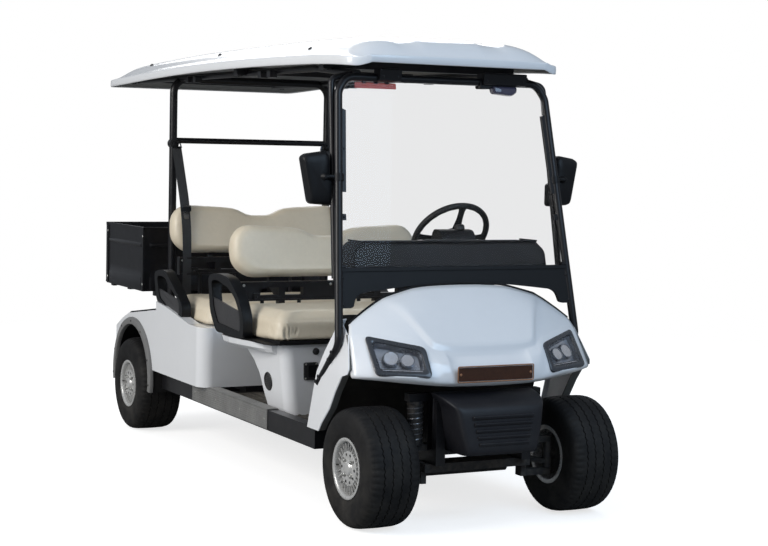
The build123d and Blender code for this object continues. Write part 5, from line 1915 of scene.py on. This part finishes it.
class GOLFCART_OT_cargo(bpy.types.Operator):
    """Builds the cargo box and its drop-down tailgate"""

    bl_idname = "golfcart.cargo"
    bl_label = "Cargo box"

    def execute(self, context):
        piece("cargo_tray", cargo_shape(), ["black_steel", "zinc_bolt"], replaces="cargo_box",
              bevel=1.6)
        piece("cargo_tailgate", gate_shape(), ["black_steel", "zinc_bolt"], "tailgate",
              replaces="tailgate", bevel=1.6)
        return {"FINISHED"}


# ---- stage -------------------------------------------------------------------------------
FLOOR_REACH = 40000
# The floor's colour where only the cart's reflections and bounced light meet it
UNSEEN_FLOOR = (0.32, 0.32, 0.315, 1)


def seen_directly(tree):
    """1 for rays from the camera and for rays that have passed through glass, otherwise 0."""
    path = add_node(tree, "LightPath")
    return maths(tree, "ADD", path.outputs["Is Camera Ray"], path.outputs["Is Transmission Ray"], clamp=True)


class GOLFCART_OT_stage(bpy.types.Operator):
    """Sets the floor, the lamps, the sky and the camera"""

    bl_idname = "golfcart.stage"
    bl_label = "Stage"

    def execute(self, context):
        stage = context.scene.cart_stage
        self.floor(stage)
        self.world(stage)
        self.lamps(stage)
        self.camera(stage)
        context.scene.view_settings.view_transform = "Standard"
        return {"FINISHED"}

    def floor(self, stage):
        """A wide pale floor that takes shadows near the cart and is plain white far away."""
        tree, shader = new_material("studio_floor", Roughness=0.9, Specular_IOR_Level=0.0)[1:]
        seen = seen_directly(tree)
        place = add_node(tree, "TexCoord")
        distance = add_node(tree, "VectorMath", operation="LENGTH")
        tree.links.new(place.outputs["Object"], distance.inputs[0])
        far = remap(tree, distance.outputs["Value"], 2.2, 6.0, 0.0, 1.0)
        mottle = remap(tree, noise_value(tree, 1.3, 4.0), 0.3, 0.7, 0.985, 1.0)
        pale = add_node(tree, "VectorMath", operation="SCALE")
        pale.inputs[0].default_value = (0.66, 0.66, 0.66)
        near = maths(tree, "MULTIPLY", mottle, maths(tree, "SUBTRACT", 1.0, far))
        tree.links.new(near, pale.inputs["Scale"])
        tree.links.new(blend_colour(tree, seen, UNSEEN_FLOOR, pale.outputs[0]), shader.inputs["Base Color"])
        glow = add_node(tree, "Emission")
        glow.inputs["Color"].default_value = (1, 1, 1, 1)
        strength = remap(tree, far, 0.0, 1.0, stage.floor_glow, 1.0)
        tree.links.new(maths(tree, "MULTIPLY", seen, strength), glow.inputs["Strength"])
        both = add_node(tree, "AddShader")
        tree.links.new(shader.outputs[0], both.inputs[0])
        tree.links.new(glow.outputs[0], both.inputs[1])
        tree.links.new(both.outputs[0], tree.nodes["Material Output"].inputs["Surface"])
        sheet = Shape().cap([(x, y, 0) for x, y in rect((-FLOOR_REACH, FLOOR_REACH), (-FLOOR_REACH, FLOOR_REACH))])
        floor = mesh_object("studio_floor", sheet, ["studio_floor"], 0)

    def world(self, stage):
        """A white sky in view and a soft, slightly blue one for the light."""
        world = bpy.data.worlds.new("studio_sky")
        bpy.context.scene.world = world
        world.use_nodes = True
        tree = world.node_tree
        background = tree.nodes["Background"]
        seen = seen_directly(tree)
        place = add_node(tree, "TexCoord")
        split = add_node(tree, "SeparateXYZ")
        tree.links.new(place.outputs["Generated"], split.inputs[0])
        height = remap(tree, split.outputs["Z"], -0.1, 0.9, 0.6, 0.85)
        sky = blend_colour(tree, seen, (0.86, 0.92, 1.0, 1), (1, 1, 1, 1))
        strength = maths(tree, "MULTIPLY", height, stage.sky_light)
        picked = add_node(tree, "Mix")
        tree.links.new(seen, picked.inputs[0])
        tree.links.new(strength, picked.inputs[2])
        picked.inputs[3].default_value = 1.0
        tree.links.new(sky, background.inputs["Color"])
        tree.links.new(picked.outputs[0], background.inputs["Strength"])

    def lamps(self, stage):
        """Three square lamps, each as name, place, aim, size, power and colour."""
        rows = (
            ("key_lamp", (-6.6, -1.2, 3.6), (0, 0, 0.8), 4.0, stage.key_power, (1.0, 0.975, 0.94)),
            ("front_lamp", (1.0, -6.6, 4.4), (0, -0.8, 0.9), 3.6, stage.fill_power, (0.54, 0.755, 1.0)),
            ("rear_lamp", (2.5, 6.0, 5.0), (0, 0.5, 1.0), 4.0, stage.rear_power, (1.0, 1.0, 1.0)),
        )
        for name, at, aim, size, power, colour in rows:
            light = bpy.data.lights.new(name, "AREA")
            light.shape = "SQUARE"
            light.size = size
            light.energy = power
            light.color = colour
            lamp = linked_object(name, light)
            lamp.location = at
            lamp.rotation_euler = (Vector(aim) - Vector(at)).to_track_quat("-Z", "Y").to_euler()

    def camera(self, stage):
        """The camera, from its stand, turn, tilt and roll."""
        turn, tilt, roll = math.radians(stage.azimuth), math.radians(stage.tilt), math.radians(stage.roll)
        back = Vector((math.sin(turn) * math.cos(tilt), -math.cos(turn) * math.cos(tilt), math.sin(tilt)))
        right = Vector((math.cos(turn), math.sin(turn), 0))
        up = back.cross(right)
        level = right * math.cos(roll) + up * math.sin(roll)
        top = -right * math.sin(roll) + up * math.cos(roll)
        data = bpy.data.cameras.new("studio_camera")
        data.lens = stage.lens
        data.sensor_width = 36
        data.sensor_fit = "HORIZONTAL"
        data.clip_end = 200
        camera = linked_object("studio_camera", data)
        rotation = Matrix((level, top, back)).transposed().to_4x4()
        camera.matrix_world = Matrix.Translation(Vector(stage.stand)) @ rotation
        bpy.context.scene.camera = camera


# ---- settings, panel and run ---------------------------------------------------------------
class CartColours(bpy.types.PropertyGroup):
    """Colours of the main finishes"""

    # Default body white, tinted slightly blue as painted sky reflection
    body: bpy.props.FloatVectorProperty(
        name="Body", description="White body mouldings and roof", subtype="COLOR", size=3, min=0, max=1,
        default=(0.84, 0.855, 0.88))
    seats: bpy.props.FloatVectorProperty(
        name="Seats", description="Vinyl on cushions and backrests", subtype="COLOR", size=3, min=0, max=1,
        default=(0.77, 0.68, 0.53))
    frame: bpy.props.FloatVectorProperty(
        name="Frame", description="Powder coat on tubes, chassis and cargo box", subtype="COLOR", size=3, min=0, max=1,
        default=(0.007, 0.007, 0.009))
    bumper: bpy.props.FloatVectorProperty(
        name="Bumper", description="Moulded front bumper", subtype="COLOR", size=3, min=0, max=1,
        default=(0.01, 0.0105, 0.0145))


class CartStage(bpy.types.PropertyGroup):
    """Camera, lamps and floor of the studio"""

    azimuth: bpy.props.FloatProperty(name="Azimuth", description="Camera's turn about the cart, in degrees",
                                     default=-27.1)
    tilt: bpy.props.FloatProperty(name="Tilt", description="Camera's look down, in degrees", default=4.22)
    roll: bpy.props.FloatProperty(name="Roll", description="Camera's roll, in degrees", default=1.25)
    lens: bpy.props.FloatProperty(name="Lens", description="Focal length in millimetres on a 36 mm sensor",
                                  default=79.79, min=10)
    stand: bpy.props.FloatVectorProperty(name="Stand", description="Where the camera stands", subtype="TRANSLATION",
                                         unit="LENGTH", size=3, default=(-3.2937, -7.0436, 1.4283))
    key_power: bpy.props.FloatProperty(name="Key lamp", description="Power of the lamp on the cart's right",
                                       default=340, min=0, unit="POWER")
    fill_power: bpy.props.FloatProperty(name="Front lamp", description="Power of the lamp before the nose", default=150,
                                        min=0, unit="POWER")
    rear_power: bpy.props.FloatProperty(name="Rear lamp", description="Power of the lamp behind the cart", default=120,
                                        min=0, unit="POWER")
    sky_light: bpy.props.FloatProperty(name="Sky light", description="Strength of the plain sky on the cart",
                                       default=0.5, min=0)
    floor_glow: bpy.props.FloatProperty(name="Floor glow", description="Light the floor adds to itself in view",
                                        default=0.72, min=0)


STEPS = ("finishes", "wheels", "front_body", "windscreen", "cockpit", "canopy", "mirrors", "seats", "seat_metalwork",
         "rear_body", "cargo", "stage")


class GOLFCART_PT_panel(bpy.types.Panel):
    """Lists the cart's settings and its building steps"""

    bl_label = "Golf cart"
    bl_idname = "GOLFCART_PT_panel"
    bl_space_type = "VIEW_3D"
    bl_region_type = "UI"
    bl_category = "Golf cart"

    def draw(self, context):
        for group in (context.scene.cart_colours, context.scene.cart_stage):
            for label in group.bl_rna.properties.keys():
                if label not in ("rna_type", "name"):
                    self.layout.prop(group, label)
        for step in STEPS:
            self.layout.operator("golfcart." + step)


CLASSES = (
    CartColours, CartStage, GOLFCART_OT_finishes, GOLFCART_OT_wheels, GOLFCART_OT_front_body, GOLFCART_OT_windscreen,
    GOLFCART_OT_cockpit, GOLFCART_OT_canopy, GOLFCART_OT_mirrors, GOLFCART_OT_seats, GOLFCART_OT_seat_metalwork,
    GOLFCART_OT_rear_body, GOLFCART_OT_cargo, GOLFCART_OT_stage, GOLFCART_PT_panel,
)


def register():
    for item in CLASSES:
        bpy.utils.register_class(item)
    bpy.types.Scene.cart_colours = bpy.props.PointerProperty(type=CartColours)
    bpy.types.Scene.cart_stage = bpy.props.PointerProperty(type=CartStage)


def unregister():
    del bpy.types.Scene.cart_stage
    del bpy.types.Scene.cart_colours
    for item in reversed(CLASSES):
        bpy.utils.unregister_class(item)


def main():
    register()
    for step in STEPS:
        getattr(bpy.ops.golfcart, step)()


if __name__ == "__main__":
    main()
